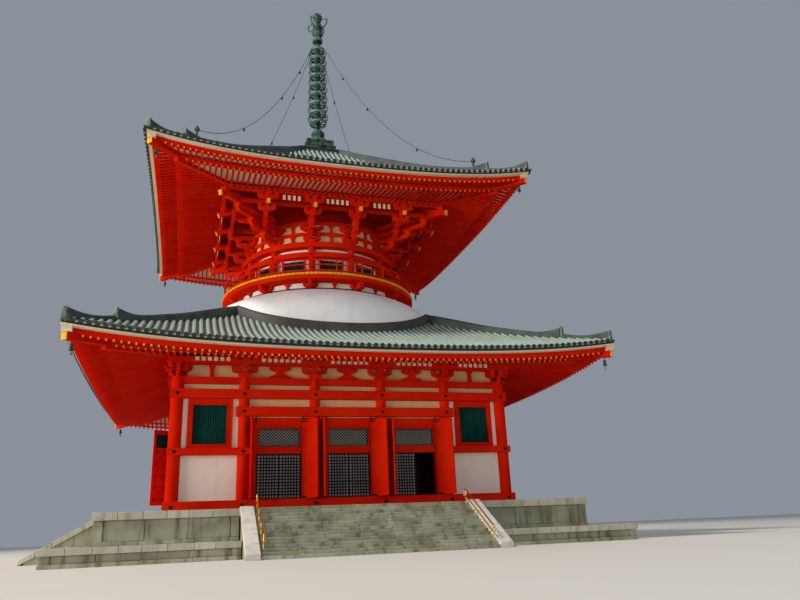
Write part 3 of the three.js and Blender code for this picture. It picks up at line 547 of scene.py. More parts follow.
@dataclass(frozen=True)
class Finish:
    """A surface finish, made once as a material under its own name."""

    name: str

    def material(self) -> bpy.types.Material:
        """The finish's material, made at its first use."""
        known = bpy.data.materials.get(self.name)
        return known or self.dress(Nodes(self.name))

    def dress(self, nodes: Nodes) -> bpy.types.Material:
        """Makes the finish's nodes."""
        raise NotImplementedError


@dataclass(frozen=True)
class Paint(Finish):
    """Paint on wood: a faded colour in broad patches, each board a little different, and a fine grain."""

    colour: int
    faded: int
    dusk: int
    roughness: float = 0.5
    grain: tuple[float, float, float] = (1.0, 1.0, 1.0)

    def dress(self, nodes: Nodes) -> bpy.types.Material:
        """Colour mixed by broad noise and by board, with roughness and relief from fine noise."""
        broad = nodes.stepped(nodes.noise(0.55, 5.0), 0.38, 0.72)
        fine = nodes.noise(9.0, 5.0, self.grain)
        colour = nodes.mix(linear(self.colour), linear(self.faded), (broad * 0.6 + fine * 0.25).clamped())
        worn = nodes.shade() * 0.22 + nodes.stepped(fine, 0.55, 0.8) * 0.2
        colour = nodes.mix(colour, linear(self.dusk), worn)
        inputs = {
            "Base Color": colour,
            "Roughness": (fine * 0.25 + (self.roughness - 0.12)).clamped(),
            "Specular IOR Level": 0.04,
            "IOR": 1.12,
            "Normal": nodes.bump(fine, 0.004, 0.6),
        }
        return nodes.surface(inputs)


@dataclass(frozen=True)
class Plaster(Finish):
    """Limed plaster: a pale ground with soft stains, faint streaks and a trowelled relief.

    Between the two heights of its turn it passes into a tan above: partly the tan of the plaster that the
    eaves shelter, partly their shade painted in.
    """

    colour: int
    stain: int
    streaks: float = 0.25
    high: int = 0xD3BE93
    turn: Pair = (90.0, 91.0)

    def dress(self, nodes: Nodes) -> bpy.types.Material:
        """Stains from broad noise and from noise drawn out downward, relief from two noises."""
        broad = nodes.stepped(nodes.noise(0.5, 6.0), 0.45, 0.8)
        rain = nodes.stepped(nodes.noise(1.6, 4.0, (1.0, 1.0, 0.12)), 0.5, 0.8)
        fine = nodes.noise(14.0, 4.0)
        _, _, z = nodes.axes()
        # painted shade: above the turn the colour goes over to tan, partly the plaster's own tan and partly
        # the eaves' shade
        ground = nodes.mix(linear(self.colour), linear(self.high), nodes.stepped(z, *self.turn))
        colour = nodes.mix(ground, linear(self.stain), (broad * 0.45 + rain * self.streaks).clamped())
        inputs = {
            "Base Color": colour,
            "Roughness": (fine * 0.15 + 0.78).clamped(),
            "Normal": nodes.bump(fine + nodes.noise(1.2, 2.0) * 2.0, 0.006, 0.5),
        }
        return nodes.surface(inputs)


@dataclass(frozen=True)
class Stone(Finish):
    """Granite blocks: speckled, each block its own shade, with brown rain streaks and dark growth."""

    colour: int
    dark: int
    streak: int
    growth: float = 0.4

    def dress(self, nodes: Nodes) -> bpy.types.Material:
        """Speckle from fine noise, block shade from the attribute, streaks from noise drawn out downward."""
        speckle = nodes.noise(38.0, 4.0)
        broad = nodes.stepped(nodes.noise(0.8, 6.0), 0.42, 0.75)
        rain = nodes.stepped(nodes.noise(2.2, 5.0, (1.0, 1.0, 0.14)), 0.48, 0.74)
        colour = nodes.mix(linear(self.colour), linear(self.dark), nodes.shade() * 0.4)
        grown = broad * self.growth + nodes.stepped(speckle, 0.5, 0.7) * 0.3
        colour = nodes.mix(colour, linear(self.dark), grown)
        colour = nodes.mix(colour, linear(self.streak), (rain * (self.growth + 0.15)).clamped())
        inputs = {
            "Base Color": colour,
            "Roughness": (speckle * 0.2 + 0.72).clamped(),
            "Normal": nodes.bump(speckle + nodes.noise(3.0, 5.0) * 1.5, 0.008, 0.7),
        }
        return nodes.surface(inputs)


@dataclass(frozen=True)
class Tile(Finish):
    """Copper-green roof tiles in courses: p, the greater of |x| and |y|, counts the courses up the slope."""

    colour: int
    dark: int
    moss: int
    course: float = 0.36

    def dress(self, nodes: Nodes) -> bpy.types.Material:
        """Each course has a dark lip where p / course passes a whole number, its joint widened into painted
        shade under the course above, and each row its own tone.
        """
        x, y, _ = nodes.axes()
        out = x.math("MAXIMUM", x.size(), y.size()) / self.course
        lip = nodes.stepped(out.part(), 0.0, 0.18)
        row = out.math("FLOOR", out)
        along = nodes.node("ShaderNodeCombineXYZ", {}, {0: row, 1: nodes.shade() * 97.0})
        cell = nodes.node("ShaderNodeTexWhiteNoise", {"noise_dimensions": "2D"}, {"Vector": along})
        broad = nodes.stepped(nodes.noise(0.35, 6.0), 0.4, 0.75)
        fine = nodes.noise(12.0, 5.0)
        colour = nodes.mix(linear(self.colour), linear(self.dark), (cell * 0.45 + broad * 0.3).clamped())
        colour = nodes.mix(colour, linear(self.moss), (nodes.stepped(fine, 0.45, 0.75) * 0.35).clamped())
        # painted shade: each course darkens in a band just below the lip of the course above
        colour = nodes.mix(linear(self.dark), colour, (lip * 0.6 + 0.4).clamped())
        inputs = {
            "Base Color": colour,
            "Roughness": (fine * 0.3 + 0.42).clamped(),
            "Normal": nodes.bump(lip + fine * 0.25, 0.012, 0.8),
        }
        return nodes.surface(inputs)


@dataclass(frozen=True)
class Layers(Finish):
    """Ridge tiles laid in layers: dark joints at a pitch in height over weathered tile."""

    colour: int
    dark: int
    pitch: float = 0.11

    def dress(self, nodes: Nodes) -> bpy.types.Material:
        """Joints where z / pitch passes a whole number, blotches from noise."""
        _, _, z = nodes.axes()
        joint = nodes.stepped(((z / self.pitch).part() - 0.5).size(), 0.5, 0.38)
        broad = nodes.stepped(nodes.noise(1.3, 6.0), 0.35, 0.75)
        fine = nodes.noise(16.0, 4.0)
        blotch = (broad * 0.7 + nodes.shade() * 0.2).clamped()
        colour = nodes.mix(linear(self.colour), linear(self.dark), blotch)
        colour = nodes.mix(linear(self.dark), colour, (joint * 0.5 + 0.5).clamped())
        inputs = {
            "Base Color": colour,
            "Roughness": (fine * 0.3 + 0.45).clamped(),
            "Normal": nodes.bump(joint + fine * 0.3, 0.008, 0.7),
        }
        return nodes.surface(inputs)


@dataclass(frozen=True)
class Metal(Finish):
    """Metal with a patina: the bare metal shows where the patina's noise is low."""

    colour: int
    patina: int
    cover: float
    roughness: float = 0.4

    def dress(self, nodes: Nodes) -> bpy.types.Material:
        """Patina from broad and drawn-out noise; it is rougher and less metallic than the metal."""
        broad = nodes.noise(2.6, 6.0)
        rain = nodes.noise(7.0, 5.0, (1.0, 1.0, 0.3))
        cover = nodes.stepped(broad * 0.5 + rain * 0.5, 0.62 - self.cover * 0.4, 0.8 - self.cover * 0.4)
        inputs = {
            "Base Color": nodes.mix(linear(self.colour), linear(self.patina), cover),
            "Roughness": (cover * 0.35 + self.roughness).clamped(),
            "Metallic": (1.0 - cover * 0.8).clamped(),
            "Normal": nodes.bump(rain + broad, 0.004, 0.5),
        }
        return nodes.surface(inputs)


@dataclass(frozen=True)
class Ground(Finish):
    """The studio's plain pale floor."""

    colour: int

    def dress(self, nodes: Nodes) -> bpy.types.Material:
        """A matt colour with the faintest mottling."""
        mottle = nodes.noise(0.2, 2.0)
        pale = linear(self.colour)
        faint = (*(value * 0.96 for value in pale[:3]), 1.0)
        return nodes.surface({"Base Color": nodes.mix(pale, faint, mottle), "Roughness": 0.9})


VERMILION = Paint("vermilion paint", 0xD41A05, 0xDC300C, 0xA21004)
SOFFIT_RED = Paint("vermilion paint of the eaves", 0xD21703, 0xDA2A0A, 0x9E0E04)
DUSK_RED = Paint("vermilion in deep shade", 0x8E1206, 0x9A1A0A, 0x6A0C04)
CREAM = Paint("cream paint", 0xDDCFB2, 0xD0BFA0, 0xB3A384, 0.6)
BOARD_WHITE = Paint("white eaves boards", 0xEFE6D2, 0xE0D3B8, 0xCFC0A2, 0.65)
TIP_PAINT = Paint("orange end paint", 0xDA9440, 0xE6AA58, 0xB07028, 0.5)
GOLD = Paint("yellow end paint", 0xE8A820, 0xF0BC40, 0xC98A18, 0.4)
BALCONY_GOLD = Paint("yellow balcony paint", 0xE0A81C, 0xEBBB36, 0xC48C12, 0.45)
WHITE = Plaster("white plaster", 0xECE9E2, 0xD2CCBE)
# The tan above 9.3 to 10.3 m is partly the plaster's own tan and partly painted shade under the eaves.
WALL_WHITE = Plaster("white plaster under tan and painted eave shade", 0xEBDDD0, 0xCCBEAC, turn=(9.3, 10.3))
TAN = Plaster("tan plaster", 0xDAB684, 0xC49E6C)
MOUND_WHITE = Plaster("mound plaster", 0xF6F6F6, 0xD9DEE2, 0.35)
TEAL = Paint("dark green window paint", 0x12443F, 0x1C554C, 0x0A2C2A, 0.45)
NIGHT = Paint("dark blue-green paint", 0x16343A, 0x1F444A, 0x0C2024, 0.45)
LATTICE_WOOD = Paint("dark lattice wood", 0x2B2624, 0x38302C, 0x171413, 0.6)
PAPER = Paint("pale backing", 0x94969C, 0xA6A8AE, 0x7A7C84, 0.8)
TRANSOM_PALE = Paint("pale transom backing", 0xA3A090, 0xB2AF9F, 0x858272, 0.8)
# Dark nail-cover paint, also used for strips of painted shadow on the upper purlin.
NAIL_AND_SHADOW = Paint("weathered nail covers and painted shadow", 0x33241E, 0x45322A, 0x1E1512, 0.5)
FLOOR_WOOD = Paint("floor boards", 0x4A3726, 0x5A4530, 0x2C2016, 0.6, (0.2, 1.0, 1.0))
# Black iron paint, also used for plates of painted shade beside the lower bracket sets.
IRON_AND_SHADE = Paint("black ironwork and painted shade", 0x15161A, 0x24262A, 0x08090B, 0.4)
TILES = Tile("copper-green tiles", 0xA3B4A8, 0x768C81, 0x84937F)
PANS = Tile("shaded pan tiles", 0x46564F, 0x28332F, 0x3B483F)
# Near black: painted shade on the end tiles and on the edge under the tiles.
SHADED_TILE_ENDS = Layers("tile ends in painted shade", 0x1A211F, 0x0D1211, 0.07)
RIDGE = Layers("ridge tiles", 0x3F4E47, 0x19231F)
OGRE = Layers("end tile mossy green", 0x5E7A62, 0x2A3E32, 0.5)
BAND = Layers("weathered band", 0x45443D, 0x2A2A27, 0.12)
STONE = Stone("weathered granite", 0xA4A68E, 0x676850, 0x4A4531, 0.6)
PALE_STONE = Stone("pale granite", 0xD2CFC6, 0xA9A69B, 0x8A8371, 0.2)
COPING = Stone("coping granite", 0xBDBAA8, 0x878470, 0x6A6448, 0.35)
BRASS = Metal("brass", 0xC79A36, 0x8C7434, 0.25, 0.3)
BRONZE = Metal("patinated bronze", 0x1F2A26, 0x3F5C50, 0.6, 0.5)
BRONZE_PALE = Metal("pale bronze bands", 0x3F564C, 0x64857A, 0.7, 0.5)
GROUND = Ground("studio floor", 0xCFCBC2)


class Piece:
    """One named mesh of several shapes with their finishes, which rides on a body of the frame."""

    def __init__(self, name: str, slot: Slot, body: str = MAIN_BODY) -> None:
        """Keeps the piece's name, its record slot and the body that carries it."""
        self.name = name
        self.slot = slot
        self.body = body
        self.layers: list[tuple[Shape, Finish]] = []

    def add(self, shape: Shape | Sequence[Shape], finish: Finish) -> "Piece":
        """Adds a shape, or several, with one finish."""
        self.layers.append((shape if isinstance(shape, Shape) else joined(shape), finish))
        return self

    def build(self, *replaced: str, bevel: float = 0.0) -> bpy.types.Object:
        """Makes the mesh object on the model's scale.

        Args:
            replaced: the frame's nodes that the piece stands for.
            bevel: width of a worn edge, or 0.

        Returns:
            The object, carried by its body.
        """
        finishes = list(dict.fromkeys(finish for _, finish in self.layers))
        whole = joined([shape for shape, _ in self.layers])
        corners, sizes, looks = [], [], []
        count = 0
        for shape, finish in self.layers:
            for rows in shape.faces:
                corners.append((rows + count).reshape(-1))
                sizes.append(np.full(len(rows), rows.shape[1]))
                looks.append(np.full(len(rows), finishes.index(finish)))
            count += len(shape.points)
        mesh = bpy.data.meshes.new(self.name)
        mesh.vertices.add(len(whole.points))
        mesh.vertices.foreach_set("co", (whole.points * MODEL_SCALE).astype(np.float32).reshape(-1))
        corner_list = np.concatenate(corners).astype(np.int32)
        size_list = np.concatenate(sizes)
        mesh.loops.add(len(corner_list))
        mesh.loops.foreach_set("vertex_index", corner_list)
        mesh.polygons.add(len(size_list))
        mesh.polygons.foreach_set("loop_start", (np.cumsum(size_list) - size_list).astype(np.int32))
        mesh.polygons.foreach_set("material_index", np.concatenate(looks).astype(np.int32))
        mesh.polygons.foreach_set("use_smooth", np.ones(len(size_list), bool))
        for finish in finishes:
            mesh.materials.append(finish.material())
        mesh.update(calc_edges=True)
        mesh.set_sharp_from_angle(angle=SHARP)
        shades = np.random.default_rng(SEED).random(int(whole.bodies.max()) + 1)
        attribute = mesh.attributes.new("shade", "FLOAT", "POINT")
        attribute.data.foreach_set("value", shades[whole.bodies].astype(np.float32))
        piece = bpy.data.objects.new(self.name, mesh)
        bpy.context.scene.collection.objects.link(piece)
        if bevel:
            worn = piece.modifiers.new("worn edges", "BEVEL")
            worn.width = bevel * MODEL_SCALE
            worn.segments = 1
            worn.limit_method = "ANGLE"
            worn.angle_limit = SHARP
        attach(piece, self.body)
        if replaced:
            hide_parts(*replaced)
        LOG.info("%s: %d points, %d faces", self.name, len(whole.points), len(size_list))
        return piece


def dress_node(node: str, finish: Finish) -> None:
    """Gives a finish to a node of the frame that keeps its own shape."""
    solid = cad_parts[node]
    if not solid.material_slots:
        solid.data.materials.append(finish.material())
    for slot in solid.material_slots:
        slot.material = finish.material()


@dataclass
class Studio:
    """Camera at the photograph's viewing angle, a pale floor and soft lights, placed on the model's scale."""

    place: tuple[float, float, float] = (-5.171, -28.861, 0.591)
    yaw: float = 0.298866
    pitch: float = 0.316214
    roll: float = -0.0424487
    lens: float = 31.54
    floor_half: float = 260.0
    centre: tuple[float, float, float] = (0.0, 0.0, 11.0)

    def camera(self) -> None:
        """Looks along [sin yaw cos pitch, cos yaw cos pitch, sin pitch], turned by the roll."""
        flat = np.cos(self.pitch)
        forward = Vector((np.sin(self.yaw) * flat, np.cos(self.yaw) * flat, np.sin(self.pitch)))
        level = Vector((np.cos(self.yaw), -np.sin(self.yaw), 0.0))
        upright = level.cross(forward)
        right = level * np.cos(self.roll) + upright * np.sin(self.roll)
        up = upright * np.cos(self.roll) - level * np.sin(self.roll)
        turn = Matrix((right, up, -forward)).transposed().to_4x4()
        data = bpy.data.cameras.new("camera")
        data.lens = self.lens
        data.clip_end = 1000.0
        camera = bpy.data.objects.new("camera", data)
        camera.matrix_world = Matrix.Translation(self.place) @ turn
        bpy.context.scene.collection.objects.link(camera)
        bpy.context.scene.camera = camera

    def floor(self) -> None:
        """A wide flat floor at the model's foot, out of the part."""
        half = self.floor_half
        mesh = bpy.data.meshes.new("floor")
        corners = [(-half, -half, 0), (half, -half, 0), (half, half, 0), (-half, half, 0)]
        mesh.from_pydata(corners, [], [(0, 1, 2, 3)])
        mesh.materials.append(GROUND.material())
        floor = bpy.data.objects.new("floor", mesh)
        bpy.context.scene.collection.objects.link(floor)
        floor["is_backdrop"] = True

    def light(self, name: str, place: tuple, size: float, power: float, colour: tuple) -> None:
        """An area light of one size that faces the model's middle."""
        data = bpy.data.lights.new(name, "AREA")
        data.size = size
        data.energy = power
        data.color = colour
        lamp = bpy.data.objects.new(name, data)
        lamp.location = place
        lamp.rotation_euler = (Vector(self.centre) - Vector(place)).to_track_quat("-Z", "Y").to_euler()
        bpy.context.scene.collection.objects.link(lamp)

    def lights(self) -> None:
        """A large key from the front left, a fill from the right, a back light and a pale surround."""
        self.light("key", (-64.0, -26.0, 82.0), 12.0, 88000.0, (1.0, 0.96, 0.9))
        self.light("fill", (24.0, -62.0, 18.0), 34.0, 4200.0, (1.0, 0.97, 0.94))
        self.light("bounce", (-52.0, -22.0, 4.0), 20.0, 24000.0, (1.0, 0.88, 0.76))
        self.light("rear", (20.0, 60.0, 40.0), 30.0, 9000.0, (0.95, 0.97, 1.0))
        world = bpy.data.worlds.new("surround")
        world.use_nodes = True
        background = world.node_tree.nodes["Background"]
        background.inputs["Color"].default_value = (0.78, 0.86, 1.0, 1.0)
        background.inputs["Strength"].default_value = 0.33
        bpy.context.scene.world = world

    def build(self) -> None:
        """Makes the camera first, then the floor and the lights."""
        self.camera()
        self.floor()
        self.lights()
        bpy.context.scene.view_settings.view_transform = "Standard"


@dataclass
class Chains:
    """Four chains that hang from the top ring to the jewels on the upper hips, with bells on each."""

    top_r: float = 0.8
    foot_r: float = 15.35
    top: float = 46.5
    foot: float = 29.55
    sag: float = 3.4
    link: float = 0.05
    steps: int = 32
    bells: tuple[float, ...] = (10.3, 5.5, 2.9)
    names: tuple[str, ...] = ("front_right", "rear_right", "rear_left", "front_left")

    def height(self, r: Value) -> Value:
        """The chain's height at a radius: the straight line less 4 sag s (1 - s)."""
        s = (r - self.top_r) / (self.foot_r - self.top_r)
        return self.top + (self.foot - self.top) * s - 4 * self.sag * s * (1 - s)

    def path(self, degrees: float) -> np.ndarray:
        """Points of a chain on its diagonal, in the model's metres."""
        r = np.linspace(self.top_r, self.foot_r, self.steps + 1)
        turn = np.radians(degrees)
        return points_of(r * np.sin(turn), -r * np.cos(turn), self.height(r)) * MODEL_SCALE

    def bell(self, degrees: float) -> Shape:
        """The three bells of one chain, each a flared bell close under the chain."""
        outside = [(0, 0.03), (0.04, 0.02), (0.07, -0.05), (0.08, -0.17), (0.1, -0.26)]
        inside = [(0.08, -0.26), (0.05, -0.16), (0, -0.08)]
        at = np.array(self.bells)
        turn = np.radians(degrees)
        moves = points_of(at * np.sin(turn), -at * np.cos(turn), self.height(at))
        return lathe(outside + inside, 12).copied(0.0, moves)

    def build(self) -> None:
        for degrees, name in zip(CORNERS, self.names):
            bells = Piece(f"chain_bells_{name}", Slot.BRONZE).add(self.bell(degrees), BRONZE).build()
            path = self.path(degrees)
            curve = bpy.data.curves.new(f"chain_{name}_links", "CURVE")
            curve.dimensions = "3D"
            curve.bevel_depth = self.link * MODEL_SCALE / 2
            curve.bevel_resolution = 1
            line = curve.splines.new("POLY")
            line.points.add(len(path) - 1)
            places = np.column_stack([path, np.ones(len(path))]).astype(np.float32)
            line.points.foreach_set("co", places.reshape(-1))
            curve.materials.append(BRONZE.material())
            chain = bpy.data.objects.new(f"chain_{name}_links", curve)
            bpy.context.scene.collection.objects.link(chain)
            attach(chain, MAIN_BODY)
            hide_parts(f"chain_{name}")


@dataclass(frozen=True)
class RoofForm:
    """Tile surface of a hipped roof.

    Its height is eave + slope run + curve run², with run = outer - q, and the corners lift it by
    lift (q / outer)^1.5 upturn(x / p). The corners stand out too, as
    p = q (1 + flare (p / outer)³ upturn(x / p)).
    """

    outer: float
    inner: float
    eave: float
    slope: float
    curve: float
    lift: float
    flare: float

    def spread(self, p: Value) -> Value:
        """How much wider the roof is at its corners at a distance out, as a share."""
        return self.flare * (p / self.outer) ** 3

    def edge(self, x: np.ndarray) -> np.ndarray:
        """How far out the eave is at a distance along a side."""
        return self.outer * (1 + self.flare * upturn(np.minimum(np.abs(x) / self.outer, 1.0)))

    def rise(self, p: Value) -> Value:
        """How far a corner is lifted at a distance out."""
        return self.lift * (p / self.outer) ** 1.5

    def height(self, p: Value, x: Value = 0.0) -> Value:
        """The height of the surface at a distance out and along a side."""
        turn = upturn(x / p)
        flat = p / (1 + self.spread(p) * turn)
        run = self.outer - flat
        return self.eave + self.slope * run + self.curve * run**2 + self.rise(flat) * turn


LOWER_FORM = RoofForm(17.3, 6.6, 12.04, 0.3, 0.01335, 0.93, 0.004)
UPPER_FORM = RoofForm(13.9, 1.0, 26.47, 0.336, 0.0245, 0.975, 0.0237)


# Tops of the hip ridges' tiers along the diagonal, as [p, z].
LOWER_TIERS = (
    ((7.5, 17.24), (8.3, 16.86), (10.8, 15.58), (12.6, 14.8), (13.6, 14.42), (14.2, 14.36), (14.74, 14.45)),
    ((14.9, 13.94), (15.6, 13.68), (16.2, 13.57), (16.7, 13.58), (17.24, 13.68)),
)
UPPER_TIERS = (
    (
        (1.75, 34.7), (2.9, 33.8), (4.6, 32.62), (6.75, 31.16),
        (8.4, 30.14), (10.3, 29.2), (10.9, 29.06), (11.64, 29.06),
    ),
    ((11.75, 28.52), (12.25, 28.3), (12.8, 28.1), (13.3, 28.05), (13.94, 28.13)),
)


@dataclass
class TileRoof:
    """Round cover tiles in rows down the slope over pan tiles, with round end tiles along the eaves."""

    name: str
    node: str
    form: RoofForm
    eye: float
    hidden: float
    edge: float
    pitch: float = 0.43
    rib: float = 0.13
    levels: int = 20
    spans: int = 24
    steps: int = 12

    def rows(self) -> np.ndarray:
        """The x of each row of cover tiles, the same to both sides of the middle."""
        count = int(2 * (self.form.outer * (1 + self.form.flare) - 0.25) / self.pitch)
        return (np.arange(count) - (count - 1) / 2) * self.pitch

    def pans(self) -> Shape:
        """The pan tiles' surface, as a thin layer carried round the square."""
        p = np.linspace(self.form.outer, self.form.inner, self.levels)
        top = self.form.height(p)
        section = np.concatenate([np.stack([p, top], -1), np.stack([p, top - 0.12], -1)[::-1]])
        lift, flare = self.form.rise(section[:, 0]), self.form.spread(section[:, 0])
        return carried(section, lift, self.spans, flare)

    def covers(self) -> Shape:
        """Cover tiles: an arc of 220 degrees over each row, from the eave to the hip or the roof's eye."""
        x = self.rows()
        inner = np.maximum(np.abs(x) + 0.2, self.hidden)
        inner = np.maximum(inner, np.sqrt(np.maximum(self.eye**2 - x**2, 0)))
        edge = self.form.edge(x)
        p = edge[:, None] + 0.03 + np.linspace(0, 1, self.steps + 1) * (inner - edge)[:, None]
        angle = np.radians(np.linspace(-20, 200, 7))
        across = x[:, None, None] + self.rib * np.cos(angle)
        height = self.form.height(p, x[:, None])[..., None] + 0.01 + self.rib * np.sin(angle)
        return loft(points_of(across, -p[..., None], height)).four()

    def ends(self) -> Shape:
        """Round end tiles of the rows, near black with painted shade."""
        x = self.rows()
        p = self.form.edge(x)
        face = points_of(x, -p - 0.06, self.form.height(p, x) - 0.02)
        return rods(face, face + [0, 0.1, 0], self.rib + 0.008, 12).four()

    def lips(self) -> Shape:
        """Pan tile lips: thin blocks between the rows, hung a little below the eave."""
        x = self.rows()
        middle = (x[1:] + x[:-1]) / 2
        edge = self.form.edge(middle)
        z = self.form.height(edge, middle)
        return blocks((middle - 0.09, middle + 0.09), (edge - 0.06, edge + 0.02), (z - 0.12, z - 0.04)).four()

    def rim(self) -> Shape:
        """The dark edge under the tiles, down to the fascia; its darkness is painted shade."""
        outer = self.form.outer - 0.05
        top = float(self.form.height(outer)) - 0.05
        section = [(outer, self.edge), (outer, top), (outer - 0.8, top + 0.1), (outer - 0.8, self.edge)]
        p = np.array([p for p, _ in section])
        return carried(section, self.form.rise(p), self.spans, self.form.spread(p))

    def build(self) -> None:
        """Joins the roof's tiles in one piece."""
        piece = Piece(self.name, Slot.TILE)
        piece.add(self.pans(), PANS).add(self.covers(), TILES)
        piece.add(self.ends(), SHADED_TILE_ENDS).add(self.lips(), TILES).add(self.rim(), SHADED_TILE_ENDS)
        piece.build(self.node)


@dataclass(frozen=True)
class RafterTier:
    """One tier of rafters by the [p, z] of its centre line's two ends, and its section."""

    outer: Pair
    inner: Pair
    width: float = 0.14
    depth: float = 0.18

    @property
    def slope(self) -> float:
        """Rise of the centre line for each metre out."""
        return (self.inner[1] - self.outer[1]) / (self.inner[0] - self.outer[0])


@dataclass
class Eaves:
    """Fascia boards, two tiers of rafters with painted ends, white boards over them, hip beams, bells."""

    name: str
    node: str
    corner_lift: float
    seat: float
    outer: float
    fascia: Pair
    lath: Pair
    flying: RafterTier
    base: RafterTier
    root: float
    flare: float
    pitch: float = 0.4
    spans: int = 24

    def share(self, p: Value) -> Value:
        """Share of the way from the purlin to the edge, to the power 1.3."""
        return np.clip((np.asarray(p) - self.seat) / (self.outer - self.seat), 0, 1) ** 1.3

    def lift(self, p: Value) -> Value:
        """Lift of the soffit at the corners at a distance out."""
        return self.corner_lift * self.share(p)

    def spread(self, p: Value) -> Value:
        """How much wider the eaves are at their corners at a distance out, as a share."""
        return self.flare * self.share(p)

    def ringed(self, p: Pair, z: Pair, z_inner: Pair | None = None) -> Shape:
        """A board carried round the square with the soffit's lift, between two p and heights at each."""
        outer, inner = z, z_inner or z
        points = np.array([(p[1], outer[0]), (p[1], outer[1]), (p[0], inner[1]), (p[0], inner[0])])
        return carried(points, self.lift(points[:, 0]), self.spans, self.spread(points[:, 0]))

    def lines(self, tier: RafterTier) -> tuple[np.ndarray, np.ndarray]:
        """Ends of a tier's rafters on one side, cut short at the hips."""
        count = int(2 * (tier.outer[0] - 0.3) / self.pitch)
        x = (np.arange(count) - (count - 1) / 2) * self.pitch
        inner = np.maximum(tier.inner[0], np.abs(x) + 0.1)
        keep = inner < tier.outer[0] - 0.15
        x, inner = x[keep], inner[keep]
        ends = []
        for p in (np.full_like(x, tier.outer[0]), inner):
            turn = upturn(x / p)
            z = tier.outer[1] + tier.slope * (p - tier.outer[0]) + self.lift(p) * turn
            ends.append(points_of(x, -p * (1 + self.spread(p) * turn), z))
        return ends[0], ends[1]

    def rafters(self, tier: RafterTier) -> Shape:
        """A tier's rafters on all sides."""
        return plumb(*self.lines(tier), tier.width, tier.depth).four()

    def tips(self, tier: RafterTier) -> Shape:
        """The painted ends of a tier's rafters, as thin plates a little smaller than the rafters."""
        start, _ = self.lines(tier)
        back, front = start + [0, 0.01, 0], start - [0, 0.006, 0]
        return plumb(front, back, tier.width * 0.78, tier.depth * 0.7).four()

    def boards(self, tier: RafterTier, back: float) -> Shape:
        """The boards on top of a tier's rafters, from near their ends to a distance out."""
        rows = np.array([back, tier.outer[0] - 0.1])
        z = tier.outer[1] + tier.slope * (rows - tier.outer[0]) + tier.depth / 2 + 0.005
        return self.ringed((rows[0], rows[1]), (z[1], z[1] + 0.04), (z[0], z[0] + 0.04))

    def rails(self) -> Shape:
        """The board on the flying rafters' ends under the fascia, and the beam on the base rafters' ends."""
        step_z = self.base.outer[1] + self.base.depth / 2
        out = self.base.outer[0]
        face = self.flying.outer[0] - 0.03
        under = self.ringed((face - 0.3, face), self.lath)
        return joined([under, self.ringed((out - 0.36, out - 0.04), (step_z, step_z + 0.3))])

    def corner_boards(self) -> Shape:
        """The block under the fascia at each corner, over the hip beam's end."""
        out = self.outer * (1 + self.flare) - 0.05
        top = self.fascia[0] + self.corner_lift + 0.03
        return blocks((out - 0.55, out), (out - 0.55, out), (top - 0.42, top)).copied(SIDES)

    def hip_line(self, p: float, z: float) -> np.ndarray:
        """A point on the diagonal, before it is turned to the corners."""
        return np.array([0.0, -p * np.sqrt(2), z + float(self.lift(p))])

    def hip_beams(self) -> tuple[Shape, Shape]:
        """The two beams under each hip, and the painted end of the upper one."""
        low_end = self.hip_line(self.base.outer[0] + 0.1, self.base.outer[1] - 0.1)
        low = beams(self.hip_line(self.root, self.base.inner[1]), low_end, 0.34, 0.42)
        high_start = self.hip_line(self.base.outer[0] - 1.2, self.flying.inner[1] - 0.05)
        high_end = self.hip_line(self.outer * (1 + self.flare) - 0.23, self.flying.outer[1] - 0.2)
        line = unit(high_end - high_start)
        cap = beams(high_end - line * 0.012, high_end + line * 0.03, 0.41, 0.43)
        high = beams(high_start, high_end, 0.4, 0.42)
        return joined([low, high]).copied(CORNERS), cap.copied(CORNERS)

    def bells(self) -> Shape:
        """A bell hung from each hip beam's end, with its hook, clapper and wind vane."""
        tip = self.hip_line(self.outer - 0.35, self.flying.outer[1] - 0.24)
        profile = smooth([(0.02, 0), (0.08, -0.04), (0.1, -0.2), (0.14, -0.4)], 3).tolist()
        cup = lathe([(0, 0), *profile, (0.12, -0.4), (0.08, -0.2), (0, -0.06)], 16)
        hook = rods((0, 0, 0.24), (0, 0, -0.02), 0.02, 6)
        clapper = rods((0, 0, -0.1), (0, 0, -0.54), 0.012, 6)
        vane = blocks((-0.07, 0.07), (-0.01, 0.01), (-0.66, -0.52))
        bell = joined([cup, hook, clapper, vane]).copied(0.0, [tip + [0, 0, -0.22]])
        return bell.copied(CORNERS)

    def build(self) -> None:
        """Joins the eaves in one piece, with the bells as another."""
        piece = Piece(self.name, Slot.VERMILION)
        band = self.ringed((self.outer - 0.4, self.outer), self.fascia)
        piece.add([band, self.corner_boards()], CREAM).add(self.rails(), SOFFIT_RED)
        for tier, back in ((self.flying, self.base.outer[0] - 0.3), (self.base, self.base.inner[0])):
            piece.add(self.rafters(tier), SOFFIT_RED).add(self.tips(tier), TIP_PAINT)
            piece.add(self.boards(tier, back), BOARD_WHITE)
        beams_under, caps = self.hip_beams()
        piece.add(beams_under, VERMILION).add(caps, GOLD)
        piece.build(self.node)
        Piece(f"{self.name}_bells", Slot.BRONZE).add(self.bells(), BRONZE).build()


